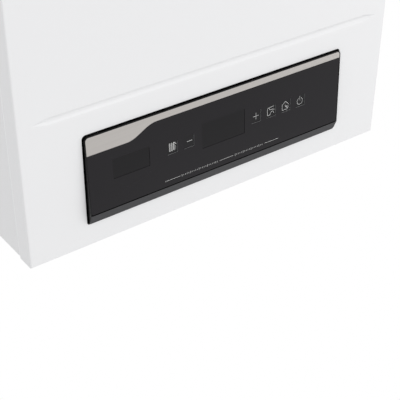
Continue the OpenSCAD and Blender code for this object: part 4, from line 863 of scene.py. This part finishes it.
def printMarks(name, lines, place, body):
    bpy.ops.object.select_all(action="DESELECT")
    bpy.ops.curve.primitive_bezier_curve_add()
    marks = bpy.context.object
    marks.name = name
    curve = marks.data
    curve.splines.clear()
    widest = max(width for path, closed, width in lines)
    for path, closed, width in lines:
        spline = curve.splines.new("POLY")
        spline.points.add(len(path) - 1)
        spline.use_cyclic_u = closed
        for knot, spot in zip(spline.points, path):
            knot.co = (spot[0] * mm, spot[1] * mm, 0, 1)
            knot.radius = width / widest
    curve.bevel_depth = widest / 2 * mm
    curve.bevel_resolution = 2
    curve.use_fill_caps = True
    bpy.ops.object.convert(target="MESH")
    marks = bpy.context.object
    marks.scale = (1, 1, ink["thick"] / widest * 2)
    settle(marks)
    marks.matrix_world = place
    settle(marks)
    finishPiece(marks, body, "print_white", smooth=60)


# Key symbols: each is a list of (path, closed, stroke width), in millimetres from its key's middle

def straight(start, end, width):
    return [Vector(start), Vector(end)], False, width


def loopBar(x, width, low, high, line):        # one upright section of the radiator
    left, right = x - width / 2, x + width / 2
    return rounded([(left, low), (right, low), (right, high), (left, high)], 0.5, True), True, line


def radiatorIcon(line):
    bars = [loopBar(x, 0.9, -3.4, 4.2, line * 0.75) for x in (-3.2, -0.8)]
    bars.append(loopBar(1.5, 0.7, -3.2, 4.2, line * 0.85))
    bars.append((rounded([(0.9, 4.2), (2.5, 4.3), (4.3, 1.9)], 0.5), False, line * 0.8))
    bars.append(straight((3.6, 1.1), (3.5, -3.2), line * 0.4))
    return bars


def minusIcon(line):
    return [straight((-2.5, 0.1), (3.7, 0.1), line * 0.72)]


def plusIcon(line):
    return [
        straight((-4.0, 0.4), (3.2, 0.4), line * 0.82),
        straight((-0.3, -3.0), (-0.3, 3.7), line * 0.75),
    ]


def tapIcon(line):
    return [
        (rounded([(3.1, 4.3), (-4.9, 3.5), (-4.9, -4.0), (-2.0, -4.0), (-0.8, -3.2)], 0.9), False, line),
        (rounded([(3.8, 0.1), (3.4, 1.1), (-1.9, 1.5), (-3.3, 3.8)], 0.8), False, line),
        (rounded([(3.3, -3.0), (2.2, -0.6), (0.2, -0.7), (-1.5, -3.1)], 0.8), False, line),
    ]


def houseIcon(line):
    return [
        (rounded([(3.7, 0.4), (-0.6, 4.4), (-4.9, 1.6), (-4.8, -4.2), (-2.7, -4.3)], 0.5), False, line),
        (rounded([(-1.2, 0.9), (0.6, -1.1), (3.4, -1.4), (2.3, -3.5), (0.2, -4.3), (-2.4, -3.6)], 0.9),
         False, line),
        straight((-1.0, -0.5), (2.2, -3.3), line * 1.1),
    ]


def powerIcon(line):
    return [
        (arcPath(-0.75, -0.6, 3.5, 118, 422), False, line),
        straight((-0.75, 0.0), (-0.75, 4.4), line * 0.8),
    ]


keyIcons = {                                   # each symbol with its weight of line
    "key_heating": (radiatorIcon, 0.8), "key_minus": (minusIcon, 0.9), "key_plus": (plusIcon, 0.66),
    "key_water": (tapIcon, 0.53), "key_home": (houseIcon, 0.55), "key_power": (powerIcon, 0.5),
}
symbolFit = {"narrow": 0.93, "aside": 0.5}     # the symbols stand a little right of their keys' middles


def fitSymbol(marks):
    fitted = []
    for path, closed, line in marks:
        points = [Vector((p[0] * symbolFit["narrow"] + symbolFit["aside"], p[1])) for p in path]
        fitted.append((points, closed, line))
    return fitted


for keyNode, (icon, weight) in keyIcons.items():
    marks = fitSymbol(icon(ink["stroke"] * weight))
    printMarks(keyNode + "Icon", marks, panelPlace(keyNode), keyNode)
print("key icons ready")

caption = {                                    # millimetres, from the fascia's middle
    "lineWidth": 0.23, "tickWidth": 0.28, "height": -31.4,
    "lines": [(-65.0, -48.4), (-4.2, 11.9), (49.7, 66.1)],
    "scales": [(-46.5, -6.0), (14.0, 47.5)], "tick": 1.9, "tall": 2.3, "small": 1.3,
    "tallEvery": 5,          # ticks
}


def buildCaption(c):
    place = panelPlace("fascia_plate")
    v = c["height"]
    lines = [straight((a, v), (b, v), c["lineWidth"]) for a, b in c["lines"]]
    printMarks("captionLines", lines, place, "casing")
    ticks = []
    for a, b in c["scales"]:
        count = int((b - a) / c["tick"])
        for i in range(count + 1):
            half = (c["tall"] if i % c["tallEvery"] == 0 else c["small"]) / 2
            x = a + i * c["tick"]
            ticks.append(straight((x, v - half), (x, v + half), c["tickWidth"]))
    printMarks("captionTicks", ticks, place, "casing")


buildCaption(caption)
print("caption ready")
